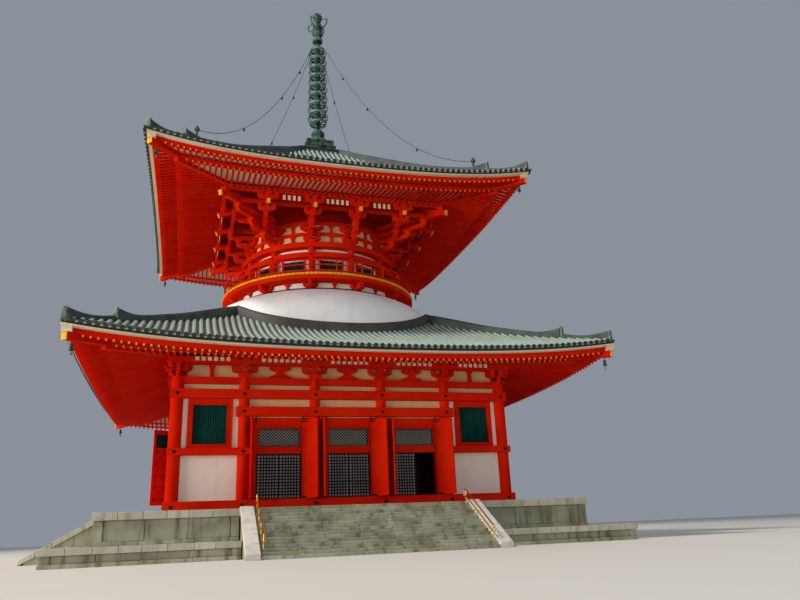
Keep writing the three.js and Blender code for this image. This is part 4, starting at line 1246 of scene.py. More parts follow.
@dataclass
class HipRidges:
    """Two-tier hip ridges of layered tile with a round cap, and an upright end tile on each tier.

    Each tier is given by the [p, z] of its top along the diagonal, and each end tile by its [p, z].
    """

    name: str
    form: RoofForm
    tiers: tuple[tuple[Pair, ...], ...]
    ends: tuple[Pair, ...]
    width: float = 0.21

    def run(self, tops: Sequence) -> Shape:
        """A ridge under a line of tops: stepped courses at shares of its height, and a cap of 160 degrees."""
        p, top = smooth(tops, 4).T
        base = self.form.height(p, p)
        w = self.width
        angle = np.radians(np.linspace(10, 170, 7))
        courses = [(w, 0, -0.25), (w, 0.4, 0), (w - 0.03, 0.44, 0), (w - 0.03, 0.72, 0), (w - 0.06, 0.76, 0)]
        half = np.array(courses)
        cap = np.stack([0.14 * np.cos(angle), np.ones(7), 0.14 * np.sin(angle) - 0.14], -1)
        x, share, rise = np.vstack([half, cap, (half * [-1, 1, 1])[::-1]]).T
        z = base[:, None] + share * (top - base)[:, None] + rise
        return loft(points_of(x, -p[:, None] * np.sqrt(2), z)).copied(CORNERS)

    def end_tile(self, p: float, top: float) -> Shape:
        """The tile that closes a tier: a slender plate with drawn-in shoulders, and a boss on its face."""
        base = float(self.form.height(p, p)) - 0.1
        tall = top - base
        half = smooth([(0.05, 1.0), (0.14, 0.94), (0.19, 0.8), (0.17, 0.6), (0.23, 0.3), (0.26, 0.0)], 3)
        outline = np.vstack([half, (half * [-1, 1])[::-1]]) * [1, tall] + [0, base]
        out = p * np.sqrt(2)
        root, tip = (0, -out - 0.15, base + tall * 0.5), (0, -out - 0.21, base + tall * 0.48)
        boss = rods(root, tip, (0.12, 0.06), 10)
        return joined([plate(outline, (out, out + 0.16)), boss]).copied(CORNERS)

    def shapes(self, piece: Piece) -> None:
        """Adds the ridges to a piece."""
        piece.add([self.run(tops) for tops in self.tiers], RIDGE)
        piece.add([self.end_tile(*end) for end in self.ends], OGRE)


@dataclass
class LowerRidges(HipRidges):
    """Hip ridges of the lower roof with the weathered band round the mound's foot."""

    band_r: Pair = (10.3, 10.62)
    band_rise: float = 0.86

    def band(self) -> Shape:
        """The band: at each angle its foot and top follow the roof below it."""
        angle = np.linspace(0, 2 * np.pi, 144, endpoint=False)
        x, y = np.sin(angle) * self.band_r[1], -np.cos(angle) * self.band_r[1]
        p, along = np.maximum(np.abs(x), np.abs(y)), np.minimum(np.abs(x), np.abs(y))
        foot = self.form.height(p, along)
        inner = self.band_r[0] / self.band_r[1]
        face = [(1.0, foot - 0.2), (1.0, foot + 0.66), (0.995, foot + 0.74)]
        rows = [*face, (inner, foot + self.band_rise), (inner, foot - 0.2)]
        return loft(np.stack([points_of(x * k, y * k, z) for k, z in rows], 1), closed=True)

    def build(self) -> None:
        """Joins the ridges and the band."""
        piece = Piece(self.name, Slot.RIDGE)
        self.shapes(piece)
        piece.add(self.band(), BAND)
        piece.build("lower_ridges")


@dataclass
class UpperRidges(HipRidges):
    """Hip ridges of the upper roof, the jewels that hold the chains and the step round the finial."""

    jewel_r: float = 15.35
    jewel_z: float = 29.55
    collar: float = 1.7

    def build(self) -> None:
        """Joins the ridges, the jewels and the stepped collar."""
        piece = Piece(self.name, Slot.RIDGE)
        self.shapes(piece)
        angle = np.linspace(-np.pi / 2, np.pi / 2, 9)
        ball = np.stack([0.2 * np.cos(angle), 0.2 * np.sin(angle)], -1)
        tip = [(0.2 * 0.7, 0.16), (0.05, 0.3), (0, 0.38)]
        jewel = lathe([(0, -0.4), (0.09, -0.4), *ball[1:7].tolist(), *tip], 16)
        turn = np.radians(CORNERS)
        moves = points_of(self.jewel_r * np.sin(turn), -self.jewel_r * np.cos(turn), self.jewel_z)
        piece.add(jewel.copied(0.0, moves), BRONZE)
        c = self.collar
        low = [(1.45, 34.2), (c, 34.2), (c, 34.45), (c - 0.06, 34.47)]
        high = [(c - 0.06, 34.62), (c + 0.03, 34.64), (c - 0.1, 34.75), (1.45, 34.75)]
        piece.add(carried(low + high), RIDGE)
        piece.build("upper_ridges")


def stones(reach: Pair, length: float, gap: float, rng: np.random.Generator) -> tuple[np.ndarray, np.ndarray]:
    """Joints of a course of stones: near equal lengths moved a little, with a gap between neighbours.

    Returns:
        The stones' low and high ends.
    """
    count = max(1, round((reach[1] - reach[0]) / length))
    cuts = np.linspace(reach[0], reach[1], count + 1)
    cuts[1:-1] += rng.uniform(-0.08, 0.08, count - 1) * length
    return cuts[:-1] + gap / 2, cuts[1:] - gap / 2


@dataclass
class Terrace:
    """A stone terrace: base course, wide slabs between piers, coping stones and paving."""

    node: str
    half: float
    coping: float
    depth: float
    foot: float
    top: float
    slab: float
    stair: float
    split: bool
    joint: float = 0.02
    wide: float = 0.95
    band: float = 2.4

    def courses(self) -> tuple[Shape, Shape, Shape]:
        """Coping, wall and paving stones of all sides."""
        rng = np.random.default_rng(SEED)
        under = self.top - self.depth
        base_top = self.foot + 0.22
        coping, wall, paving = [], [], []
        stair, face = self.stair, self.half
        back, crown = face - 0.5, under - 0.01
        edge, inside = self.coping - self.wide, self.coping - self.band
        reaches = [(-self.coping, self.coping)]
        if self.split:
            reaches = [(-self.coping, -stair), (stair, self.coping)]
        for low, high in reaches:
            a, b = stones((low, high - (self.wide if high > stair else 0)), 1.25, self.joint, rng)
            coping.append(blocks((a, b), (edge, self.coping), (under, self.top)))
            reach = max(low, self.wide - self.coping), min(high, inside - self.joint)
            a, b = stones(reach, 1.9, self.joint, rng)
            paving.append(blocks((a, b), (inside, edge - self.joint), (under, self.top - 0.01)))
        for low, high in ((-face, -stair), (stair, face)):
            a, b = stones((low + 0.5, high - 0.5), self.slab, self.joint, rng)
            wall.append(blocks((a, b), (back, face - 0.05), (base_top, crown)))
            a, b = stones((low, high), self.slab * 1.3, self.joint, rng)
            wall.append(blocks((a, b), (back, face + 0.06), (self.foot, base_top - 0.01)))
            ends = np.array([low, high - 0.48])
            wall.append(blocks((ends + 0.01, ends + 0.47), (back, face), (base_top, crown)))
        return joined(coping).four(), joined(wall).four(), joined(paving).four()

    def core(self) -> Shape:
        """The body behind the stones, which shows dark in their joints."""
        out, back, stair = self.half - 0.3, self.half - 2.6, self.stair
        whole = [(-out, -stair), (stair, back)] if self.split else [(-out, back)]
        parts = [blocks(reach, (back, out), (self.foot, self.top - 0.04)) for reach in whole]
        return joined(parts).four()

    def build(self) -> None:
        """Joins the terrace's stones, with a plain middle under the building."""
        coping, wall, paving = self.courses()
        piece = Piece(f"{self.node}_stones", Slot.STONE)
        piece.add(coping, COPING).add(wall, STONE).add(paving, STONE).add(self.core(), STONE)
        middle = self.half - 2.2
        piece.add(blocks((-middle, middle), (-middle, middle), (self.foot, self.top - 0.02)), STONE)
        piece.build(self.node, bevel=0.012)


@dataclass
class Stair:
    """A flight of stone steps between two sloping cheeks."""

    half: float = 7.3
    cheek: float = 0.75
    foot: float = 19.9
    head: float = 15.12
    top: float = 2.7
    steps: int = 15
    upstand: float = 0.1
    nose: float = 0.3
    cap: float = 0.34
    caps: int = 5

    @property
    def riser(self) -> float:
        """Height of a step."""
        return self.top / self.steps

    @property
    def going(self) -> float:
        """Depth of a step."""
        return (self.foot - self.head) / self.steps

    def treads(self) -> Shape:
        """Stones of each step, their joints moved from step to step."""
        rng = np.random.default_rng(SEED)
        inner = self.half - self.cheek - 0.003
        parts = []
        for i in range(self.steps):
            a, b = stones((-inner, inner), 1.75, 0.012, rng)
            z = self.top - i * self.riser
            p = self.head + i * self.going
            parts.append(blocks((a, b), (p - 0.1, p + self.going), (z - self.riser, z)))
        return joined(parts)

    def cheeks(self) -> tuple[Shape, Shape]:
        """The right cheek: coping stones along its slope with a level head, and the wall under them."""
        crown = self.top + self.upstand
        edge = self.foot + 0.05
        bend = self.head + self.going
        cuts = np.concatenate([[self.head], np.linspace(bend, edge, self.caps + 1)])
        out = np.stack([cuts[:-1] + [0, *[0.01] * self.caps], cuts[1:] - [*[0.01] * self.caps, 0]], -1)
        top = np.interp(out, [bend, edge], [crown, self.nose])
        corners = np.stack([top, top - self.cap], -1)
        corners[-1, 1, 1] = 0.0
        x = (self.half - self.cheek, self.half)
        rows = []
        for at in x:
            ring_out = np.concatenate([out, out[:, ::-1]], -1)
            ring_z = np.concatenate([corners[..., 0], corners[:, ::-1, 1]], -1)
            rows.append(points_of(at, -ring_out, ring_z))
        stones_on = loft(np.stack(rows, 1))
        end = edge - 0.3
        under = crown - self.cap + 0.02
        foot_z = self.nose + (crown - self.nose) * 0.3 / (edge - bend) - self.cap + 0.02
        outline = [(self.head, 0), (self.head, under), (bend, under), (end, max(foot_z, 0.05)), (end, 0)]
        return stones_on, fin(outline, (x[0] + 0.05, x[1] - 0.07))

    def build(self) -> None:
        """Makes the front flight with its own cheeks and the other three as one piece each."""
        flight = self.treads()
        cap, wall = self.cheeks()
        Piece("front_steps", Slot.STONE).add(flight, STONE).build("front_stair", bevel=0.015)
        for side, turned in (("right", lambda shape: shape), ("left", Shape.mirrored)):
            piece = Piece(f"front_cheek_{side}", Slot.GRANITE)
            piece.add(turned(cap), PALE_STONE).add(turned(wall), STONE)
            piece.build(f"front_stair_cheek_{side}", bevel=0.012)
        for degrees, side in zip(SIDES[1:], ("right", "rear", "left")):
            piece = Piece(f"{side}_steps", Slot.STONE)
            piece.add([flight.copied(degrees), wall.both().copied(degrees)], STONE)
            piece.add(cap.both().copied(degrees), COPING)
            piece.build(f"{side}_stair", bevel=0.015)


@dataclass
class Handrails:
    """Brass rails of two bars one over the other, joined at their ends, on posts with round feet."""

    x: float = 6.38
    heights: Pair = (0.575, 0.975)
    bar: float = 0.034
    posts: tuple[int, ...] = (1, 5, 9, 13)
    past: Pair = (0.3, 0.2)
    stair: Stair = field(default_factory=Stair)

    def rail(self) -> Shape:
        """The right handrail: bars parallel to the slope, level past the end posts, with end loops."""
        stair = self.stair
        step = np.array(self.posts)
        out = stair.head + (step + 0.5) * stair.going
        slope = stair.top * (1 - (out - stair.head) / (stair.foot - stair.head))
        reach = np.array([out[0] - self.past[0], out[0], out[-1], out[-1] + self.past[1]])
        under = slope[[0, 0, -1, -1]]
        lines = [points_of(self.x, -reach, under + height) for height in self.heights]
        parts = [rods(line[:-1], line[1:], self.bar, 10) for line in lines]
        parts.append(rods(lines[0][[0, -1]], lines[1][[0, -1]], self.bar, 10, up=(0, 1, 0)))
        feet = points_of(self.x, -out, stair.top - step * stair.riser + 0.002)
        tops = points_of(self.x, -out, slope + self.heights[1])
        parts.append(rods(feet, tops, self.bar * 0.85, 10, up=(0, 1, 0)))
        parts.append(rods(feet, feet + [0, 0, 0.03], 0.06, 12, up=(0, 1, 0)))
        return joined(parts)

    def build(self) -> None:
        """Makes both handrails."""
        rail = self.rail()
        Piece("brass_rail_right", Slot.BRASS).add(rail, BRASS).build("handrail_right")
        Piece("brass_rail_left", Slot.BRASS).add(rail.mirrored(), BRASS).build("handrail_left")


@dataclass
class Hall:
    """Columns, clasping beams, plaster and windows of the lower storey, the same on all four sides."""

    columns: tuple[float, ...] = (2.3, 6.95)
    line: float = 11.15
    radius: float = 0.35
    corner_radius: float = 0.4
    face: float = 11.59
    tie_face: float = 11.4
    foot: float = STAND
    column_top: float = 11.1
    waist: Pair = (6.1, 6.53)
    head: Pair = (8.55, 9.16)
    upper: Pair = (9.7, 10.28)
    tie: Pair = (10.64, 11.1)
    head_end: float = 7.45
    window_x: Pair = (7.93, 10.19)
    window_z: Pair = (6.72, 9.36)
    trim_x: Pair = (7.65, 10.44)
    trim_z: Pair = (6.5, 9.72)
    bead: float = 0.07
    bar: float = 0.075
    bars: int = 15
    names: tuple[str, ...] = ("front", "right", "rear", "left")

    def column(self, x: float, radius: float) -> Shape:
        """A round column with slightly eased ends."""
        z0, z1 = self.foot, self.column_top
        shaft = [(radius - 0.03, z0), (radius, z0 + 0.05), (radius, z1 - 0.25), (radius - 0.06, z1)]
        return lathe([(0, z0), *shaft, (0, z1)], 32).copied(0.0, (x, -self.line, 0))

    def beams_of(self, end: float, tie_end: float) -> Shape:
        """The beams across one side, up to an end."""
        line, face = self.line + TOUCH, self.face
        across = [
            blocks((-end, end), (line, face), self.upper),
            blocks((-tie_end, tie_end), (line, self.tie_face), self.tie),
            blocks((-self.head_end, self.head_end), (line, face), self.head),
            blocks((self.columns[1] - 0.5, end), (line, face), self.waist).both(),
        ]
        return joined(across)

    def trim(self) -> Shape:
        """The boards round a window, with an inner bead."""
        (x0, x1), (z0, z1) = self.window_x, self.window_z
        wide, line = self.bead, self.line
        boards = border(self.trim_x, self.trim_z, (x0, x1), (z0, z1), (line + TOUCH, line + 0.12))
        inner_x, inner_z = (x0 + wide, x1 - wide), (z0 + wide, z1 - wide)
        bead = border((x0, x1), (z0, z1), inner_x, inner_z, (line - 0.06, line + 0.16))
        return joined([boards, bead]).both()

    def nail_covers(self, xs: Sequence[float], z: float, face: float) -> Shape:
        """Domed round covers over the nails where a beam crosses a column."""
        x = np.asarray(xs, float)
        base = points_of(x, -face, z)
        plate_ring = rods(base + [0, 0.01, 0], base + [0, -0.025, 0], (0.125, 0.115), 12)
        dome = rods(base, base + [0, -0.06, 0], (0.08, 0.035), 12)
        return joined([plate_ring, dome])

    def covers(self) -> Shape:
        """The nail covers of one side."""
        inner = [*self.columns, *(-x for x in self.columns)]
        ends = [self.line, -self.line]
        waist = [self.columns[1], -self.columns[1], *ends]
        rows = [
            self.nail_covers(inner + ends, sum(self.upper) / 2, self.face),
            self.nail_covers(inner, sum(self.head) / 2, self.face),
            self.nail_covers(waist, sum(self.waist) / 2, self.face),
            self.nail_covers(inner + ends, 3.01, 11.645),
        ]
        return joined(rows)

    def corner_returns(self) -> Shape:
        """A front corner column and the returns of the beams round it."""
        inner = self.line - self.corner_radius
        parts = [self.column(self.line, self.corner_radius)]
        out = (self.line + TOUCH, self.face)
        for z in (self.waist, self.upper):
            parts.append(blocks(out, (inner, self.line + TOUCH), z))
        parts.append(blocks((self.line + TOUCH, self.tie_face), (inner, self.line + TOUCH), self.tie))
        return joined(parts).both()

    def frames(self) -> None:
        """One piece a side: the front and the rear have the corner columns."""
        for degrees, side in zip(SIDES, self.names):
            corners = side in ("front", "rear")
            end = self.face if corners else self.line - self.corner_radius - TOUCH
            tie_end = self.tie_face if corners else end
            shapes = [self.beams_of(end, tie_end), self.trim()]
            for x in self.columns:
                shapes.append(self.column(x, self.radius).both())
            if corners:
                shapes.append(self.corner_returns())
            piece = Piece(f"{side}_timber", Slot.VERMILION)
            piece.add(joined(shapes).copied(degrees), VERMILION)
            piece.add(self.covers().copied(degrees), NAIL_AND_SHADOW)
            piece.build(f"{side}_frame", bevel=0.014)

    def windows(self) -> None:
        """Upright bars in front of each window's dark panel."""
        x0, x1 = self.window_x
        x = np.linspace(x0 + 0.13, x1 - 0.13, self.bars)
        z0, z1 = self.window_z
        start, end = (points_of(x, -11.04, z) for z in (z0, z1))
        bars = beams(start, end, self.bar, self.bar, up=(1, 1, 0))
        Piece("window_bars", Slot.GREEN).add(bars.both().four(), TEAL).build()
        dress_node("window_panels", NIGHT)

    def base(self) -> None:
        """The sill beam round the building with its floor boards inside."""
        inner = 10.6
        sill = carried_board((inner, 11.64), (2.7006, 3.32))
        boards = np.linspace(-inner, inner, 36)
        floor = blocks((boards[:-1] + 0.006, boards[1:] - 0.006), (-inner, inner), (2.72, 3.24))
        piece = Piece("sill_beam_and_floor", Slot.VERMILION)
        piece.add(sill, VERMILION).add(floor, FLOOR_WOOD)
        piece.build("sill_and_floor", bevel=0.014)

    def build(self) -> None:
        """Frames, windows, sill and the plaster of the walls."""
        self.base()
        self.frames()
        self.windows()
        for wall in ("front_wall_left", "front_wall_right", "right_wall", "rear_wall", "left_wall"):
            dress_node(wall, WALL_WHITE)
        dress_node("front_wall_lintel", TAN)


@dataclass
class Doorways:
    """Door frames of the three middle bays: transoms with a diamond lattice and mouldings."""

    half: float = 1.46
    light_x: float = 1.35
    light_z: Pair = (6.64, 7.78)
    face: float = 11.1
    slat: float = 10.985

    def bays(self) -> np.ndarray:
        """The x of the three bays."""
        return np.array([-BAY, 0.0, BAY])

    def in_bays(self, shape: Shape) -> Shape:
        """A shape of the middle bay repeated in all three."""
        return shape.copied(0.0, points_of(self.bays(), 0.0, 0.0))

    def diamonds(self) -> Shape:
        """Slats at 45 degrees both ways, each cut off at the transom's frame."""
        z0, z1 = self.light_z
        tall = z1 - z0
        pitch = tall / 5.5
        start = np.arange(-self.light_x - tall + pitch / 2, self.light_x, pitch)
        low = np.maximum(start, -self.light_x)
        high = np.minimum(start + tall, self.light_x)
        keep = high - low > 0.05
        start, low, high = start[keep], low[keep], high[keep]
        ends = (points_of(x, -self.slat, z0 + x - start) for x in (low, high))
        slats = beams(*ends, 0.012, 0.048)
        return joined([slats, slats.mirrored().mapped(lambda points: points + [0, -0.008, 0])])

    def transoms(self) -> None:
        """Panel, lattice and frame of each bay's transom."""
        z0, z1 = self.light_z
        x = self.light_x
        edge = 0.06
        panel = blocks((-x, x), (10.966, 10.972), (z0, z1))
        inner_x, inner_z = (-x + edge, x - edge), (z0 + edge, z1 - edge)
        rim = border((-x, x), (z0, z1), inner_x, inner_z, (10.96, 11.08))
        piece = Piece("transom_lattices", Slot.GREEN)
        piece.add(self.in_bays(panel), TRANSOM_PALE).add(self.in_bays(self.diamonds()), NIGHT)
        piece.add(self.in_bays(rim), TEAL)
        piece.build()

    def mouldings(self) -> None:
        """Raised rails and stiles on the door frames."""
        z0, z1 = self.light_z
        x = self.light_x
        p = (self.face, self.face + 0.045)
        rails = blocks((-x - 0.1, x + 0.1), p, ([6.3, z0 - 0.12, z1 + 0.02], [6.44, z0 - 0.02, z1 + 0.12]))
        stiles = blocks(([-x - 0.12, x + 0.02], [-x - 0.02, x + 0.12]), p, (z0 - 0.12, z1 + 0.12))
        piece = Piece("door_frame_mouldings", Slot.VERMILION)
        piece.add(self.in_bays(joined([rails, stiles])), VERMILION).build(bevel=0.01)
        dress_node("front_door_frames", VERMILION)

    def build(self) -> None:
        """Transoms and mouldings of the front."""
        self.transoms()
        self.mouldings()


@dataclass
class LatticeLeaf:
    """A sliding leaf: stiles and rails round a close grid of bars over a pale backing."""

    width: float = 1.48
    bottom: float = STAND
    top: float = 6.168
    thick: float = 0.06
    edge: float = 0.1
    columns: int = 7
    rows: int = 14
    bar: float = 0.085
    tracks: Pair = (11.03, 10.93)

    def shapes(self, x: float, track: int) -> tuple[Shape, Shape]:
        """The wood and the backing of a leaf whose left edge is at x."""
        line = self.tracks[track]
        x1 = x + self.width
        edge, half, bar = self.edge, self.thick / 2, self.bar / 2
        outer = (line - half, line + half)
        inner_x, inner_z = (x + edge, x1 - edge), (self.bottom + edge, self.top - edge)
        columns = np.linspace(*inner_x, self.columns + 1)[1:-1]
        rows = np.linspace(*inner_z, self.rows + 1)[1:-1]
        middle = self.bottom + 0.36 * (self.top - self.bottom)
        wood = [
            border((x, x1), (self.bottom, self.top), inner_x, inner_z, outer),
            blocks(inner_x, outer, (middle - 0.04, middle + 0.04)),
            blocks((columns - bar, columns + bar), (line - half * 0.2, line + half * 0.8), inner_z),
            blocks(inner_x, (line - half * 0.2, line + half * 0.65), (rows - bar, rows + bar)),
        ]
        lap = 0.02
        sheet_x, sheet_z = ((low - lap, high + lap) for low, high in (inner_x, inner_z))
        backing = blocks(sheet_x, (line - half * 0.8, line - half * 0.3), sheet_z)
        return joined(wood), backing

    def build(self) -> None:
        """The six leaves, each on its own body."""
        bays = Doorways().bays()
        half, run = Doorways().half, 0.012
        for i, bay in enumerate(bays):
            left = bay - half + run
            right = left if i == len(bays) - 1 else bay + half - run - self.width
            for j, x in enumerate((left, right)):
                number = 2 * i + j + 1
                wood, backing = self.shapes(x, j)
                piece = Piece(f"lattice_leaf_{number}", Slot.LATTICE, f"lattice_door_{number}")
                piece.add(wood, LATTICE_WOOD).add(backing, PAPER)
                piece.build(f"lattice_door_{number}")


@dataclass
class PlankLeaf:
    """A hinged leaf of upright planks, with battens inside and studs and a dark panel outside.

    It is laid out closed, with its hinge line on the z axis and its outer face to the front.
    """

    reach: float = 1.53
    meet: float = 0.01
    thick: float = 0.12
    bottom: float = 3.34
    top: float = 8.3
    line: float = 11.24
    pin: float = 0.04
    planks: int = 5
    panel_x: Pair = (-1.4, -0.12)
    rail: float = 0.16

    def studs(self, face: float) -> Shape:
        """Five rows of three studs, as low cones on the outer face."""
        x, z = np.meshgrid(np.linspace(-1.28, -0.2, 3), np.linspace(self.bottom + 0.35, self.top - 1.5, 5))
        base = points_of(x.ravel(), -face, z.ravel())
        foot = rods(base, base + [0, -0.02, 0], (0.075, 0.07), 10)
        cone = rods(base, base + [0, -0.055, 0], (0.05, 0.02), 10)
        return joined([foot, cone])

    def panel(self, face: float) -> Shape:
        """The dark panel at the head of the outer face."""
        return blocks(self.panel_x, (face, face + 0.015), (self.top - 1.2, self.top - 0.3))

    def panel_frame(self, face: float) -> Shape:
        """Beads round the dark panel."""
        z0, z1 = self.top - 1.2, self.top - 0.3
        outer_x, outer_z = (-1.45, -0.07), (z0 - 0.05, z1 + 0.05)
        return border(outer_x, outer_z, self.panel_x, (z0, z1), (face, face + 0.025))

    def boards(self, groove: float, p: Pair, z: Pair) -> Shape:
        """The planks, with half a groove at each edge."""
        cuts = np.linspace(-(self.reach - self.meet), 0, self.planks + 1)
        return blocks((cuts[:-1] + groove, cuts[1:] - groove), p, z)

    def wood(self) -> Shape:
        """Planks, edges, battens and the rounded stile at the hinge."""
        reach, half = self.reach - self.meet, self.thick / 2
        low, high, rail = self.bottom, self.top, self.rail
        planks = self.boards(0.004, (-half * 0.88, half * 0.88), (low + rail, high - rail))
        core = blocks((-reach + 0.01, -0.01), (-half * 0.6, half * 0.6), (low, high))
        rails = blocks((-reach, 0), (-half, half), ([low, high - rail], [low + rail, high]))
        stile = rods((0, 0, low), (0, 0, high), half, 16, up=(0, 1, 0))
        battens = blocks((-reach + 0.06, -0.1), (-half - 0.02, -half + 0.01), ([4.3, 6.6], [4.46, 6.76]))
        return joined([planks, core, rails, stile, battens])

    def iron(self) -> Shape:
        """Pivots and straps at the hinge line."""
        pins = rods((0, 0, STAND), (0, 0, 8.549), self.pin, 10, up=(0, 1, 0))
        half = self.thick / 2 + 0.006
        low, high = self.bottom, self.top
        straps = blocks((-0.5, 0.0), (-half, half), ([low + 0.02, high - 0.14], [low + 0.12, high - 0.04]))
        ring_pull = rods((-1.2, 0, 5.6), (-1.2, 0.0, 5.75), 0.02, 8, up=(0, 1, 0))
        return joined([pins, straps, ring_pull])

    def leaf(self, piece: Piece, bay: float, sign: int, open_by: float, degrees: float = 0.0) -> Piece:
        """Adds a leaf standing open by its angle on a jamb of a bay, on the side turned by degrees."""
        face = self.thick / 2
        angle = open_by * sign
        layers = [
            (self.wood(), VERMILION),
            (self.iron(), IRON_AND_SHADE),
            (self.studs(face), IRON_AND_SHADE),
            (self.panel(face), NIGHT),
            (self.panel_frame(face), VERMILION),
        ]
        for shape, finish in layers:
            one = shape if sign > 0 else shape.mirrored()
            placed = one.copied(angle, (bay + sign * self.reach, -self.line, 0)).copied(degrees)
            piece.add(placed, finish)
        return piece

    def build(self) -> None:
        """The seven leaves that stand open, each on its own body."""
        bays = Doorways().bays()
        for i, bay in enumerate(bays):
            for j, (sign, angle) in enumerate(((-1, 106.0), (1, 120.0))):
                number = 2 * i + j + 1
                piece = Piece(f"plank_leaf_{number}", Slot.VERMILION, f"plank_door_{number}")
                self.leaf(piece, bay, sign, angle).build(f"plank_door_{number}")
        side = Piece("left_plank_leaf", Slot.VERMILION, "left_plank_door")
        self.leaf(side, bays[-1], 1, 120.0, SIDES[3]).build("left_plank_door")

    def closed(self) -> None:
        """Planks, studs and panels of the leaves that stay shut, over the plain ones of the other sides."""
        back, face = 11.3, 11.312
        bays = Doorways().bays()
        skin = [
            (self.boards(0.006, (back, face), (self.bottom + 0.01, self.top - 0.01)), VERMILION),
            (self.studs(face), IRON_AND_SHADE),
            (self.panel(face), NIGHT),
            (self.panel_frame(face), VERMILION),
        ]
        for degrees, side in zip(SIDES[1:], ("right", "rear", "left")):
            piece = Piece(f"{side}_door_planks", Slot.VERMILION)
            dress_node(f"{side}_doors", VERMILION)
            for shape, finish in skin:
                for i, bay in enumerate(bays):
                    for sign in (-1, 1):
                        if side == "left" and i == len(bays) - 1 and sign > 0:
                            continue
                        one = shape if sign > 0 else shape.mirrored()
                        placed = one.copied(0.0, (bay + sign * self.reach, 0, 0))
                        piece.add(placed.copied(degrees), finish)
            piece.build()


@dataclass
class LowerBrackets:
    """Bracket sets on the columns, struts between them and the beams that they carry."""

    foot: float = BRACKET_SEAT
    seat: float = 11.93
    top: float = 12.25
    line: float = 11.15
    purlin: Pair = (11.6, 11.9)
    beam_top: float = 12.12
    plate_pitch: float = 0.39
    columns: tuple[float, ...] = (2.3, 6.95)

    def set_at(self, p: float = 11.15) -> Shape:
        """A bracket set: the great block, an arm along the wall with three blocks, and an arm outward."""
        z0, z1, z2, z3 = self.foot, 11.4, 11.66, self.seat
        along = plate(curved_arm(0.85, z1 - 0.02, z2), (p - 0.13, p + 0.13))
        reach = self.purlin[1] - 0.02 - p
        under = [(p - 0.3, z1), (p + reach * 0.35, z1), (p + reach * 0.75, z1 + 0.1), (p + reach, z2 - 0.08)]
        out_arm = fin([*under, (p + reach, z2), (p - 0.3, z2)], (-0.14, 0.14))
        blocks_on = [bearing_block(0.19, z2, z3, p, x) for x in (-0.68, 0.0, 0.68)]
        outer = bearing_block(0.19, z2, z3, p + 0.58)
        return joined([bearing_block(0.4, z0, z1, p), along, out_arm, *blocks_on, outer])

    def frog_leg(self) -> Shape:
        """A strut between two bracket sets: two curved legs that meet under a block."""
        half = [(0.1, 11.72), (0.24, 11.7), (0.28, 11.46), (0.4, 11.36), (0.72, 11.22), (0.88, self.foot)]
        outer = smooth(half, 4)
        outline = np.vstack([outer, (outer * [-1, 1])[::-1]])
        arm = plate(curved_arm(0.74, 11.55, 11.87), (11.05, 11.22))
        return joined([plate(outline, (11.05, 11.2)), arm, bearing_block(0.2, 11.72, self.seat, 11.12)])

    def post(self) -> Shape:
        """A straight strut with a block, for the end bays."""
        upright = blocks((-0.14, 0.14), (11.05, 11.17), (self.foot, 11.72))
        return joined([upright, bearing_block(0.2, 11.72, self.seat, 11.12)])

    def infill(self) -> tuple[Shape, Shape]:
        """White plates over the purlin in each bay, and dark plates beside each bracket set: painted shade in
        the openings there.
        """
        face = self.purlin[1]
        middle = (np.arange(7) - 3) * self.plate_pitch
        end = (np.arange(6) - 2.5) * self.plate_pitch
        x = np.concatenate([middle - BAY, middle, middle + BAY, end - END_BAY, end + END_BAY])
        high = self.top + 0.06
        plates = blocks((x - 0.12, x + 0.12), (face, face + 0.015), (self.beam_top - 0.07, high))
        # painted shade: black plates stand for the shade in the openings beside each bracket set
        gaps = [side * at + step for at in self.columns for side in (-1, 1) for step in (-0.34, 0.34)]
        gaps = np.array(gaps)
        dark = blocks((gaps - 0.1, gaps + 0.1), (face, face + 0.012), (self.beam_top + 0.06, high))
        return plates.four(), dark.four()

    def build(self) -> None:
        """Joins the band, the beams, the sets and the struts."""
        near, far = self.columns
        along = points_of([-far, -near, near, far], 0.0, 0.0)
        frogs = points_of([-BAY, 0.0, BAY], 0.0, 0.0)
        posts = points_of([-END_BAY, END_BAY], 0.0, 0.0)
        corner = self.set_at(self.line * np.sqrt(2)).copied(45.0)
        corner_square = self.set_at().copied(0.0, (self.line, 0, 0))
        sets = joined([self.set_at().copied(0.0, along), corner, corner_square, corner_square.mirrored()])
        struts = joined([self.frog_leg().copied(0.0, frogs), self.post().copied(0.0, posts)])
        beam = carried_board(self.purlin, (self.seat, self.beam_top))
        back = carried_board(self.purlin, (self.beam_top, self.top + 0.07))
        plates, dark = self.infill()
        wall_beam = carried_board((11.0, 11.28), (self.seat, self.top))
        piece = Piece("lower_bracket_sets", Slot.VERMILION)
        piece.add(carried_board((10.75, 11.05), (self.foot, self.seat)), TAN)
        piece.add(carried_board((11.05, 11.62), (12.1, 12.14)), BOARD_WHITE)
        piece.add(joined([sets, struts]).four(), VERMILION).add([beam, back, wall_beam], VERMILION)
        piece.add(plates, BOARD_WHITE).add(dark, IRON_AND_SHADE)
        piece.build("lower_brackets", bevel=0.01)


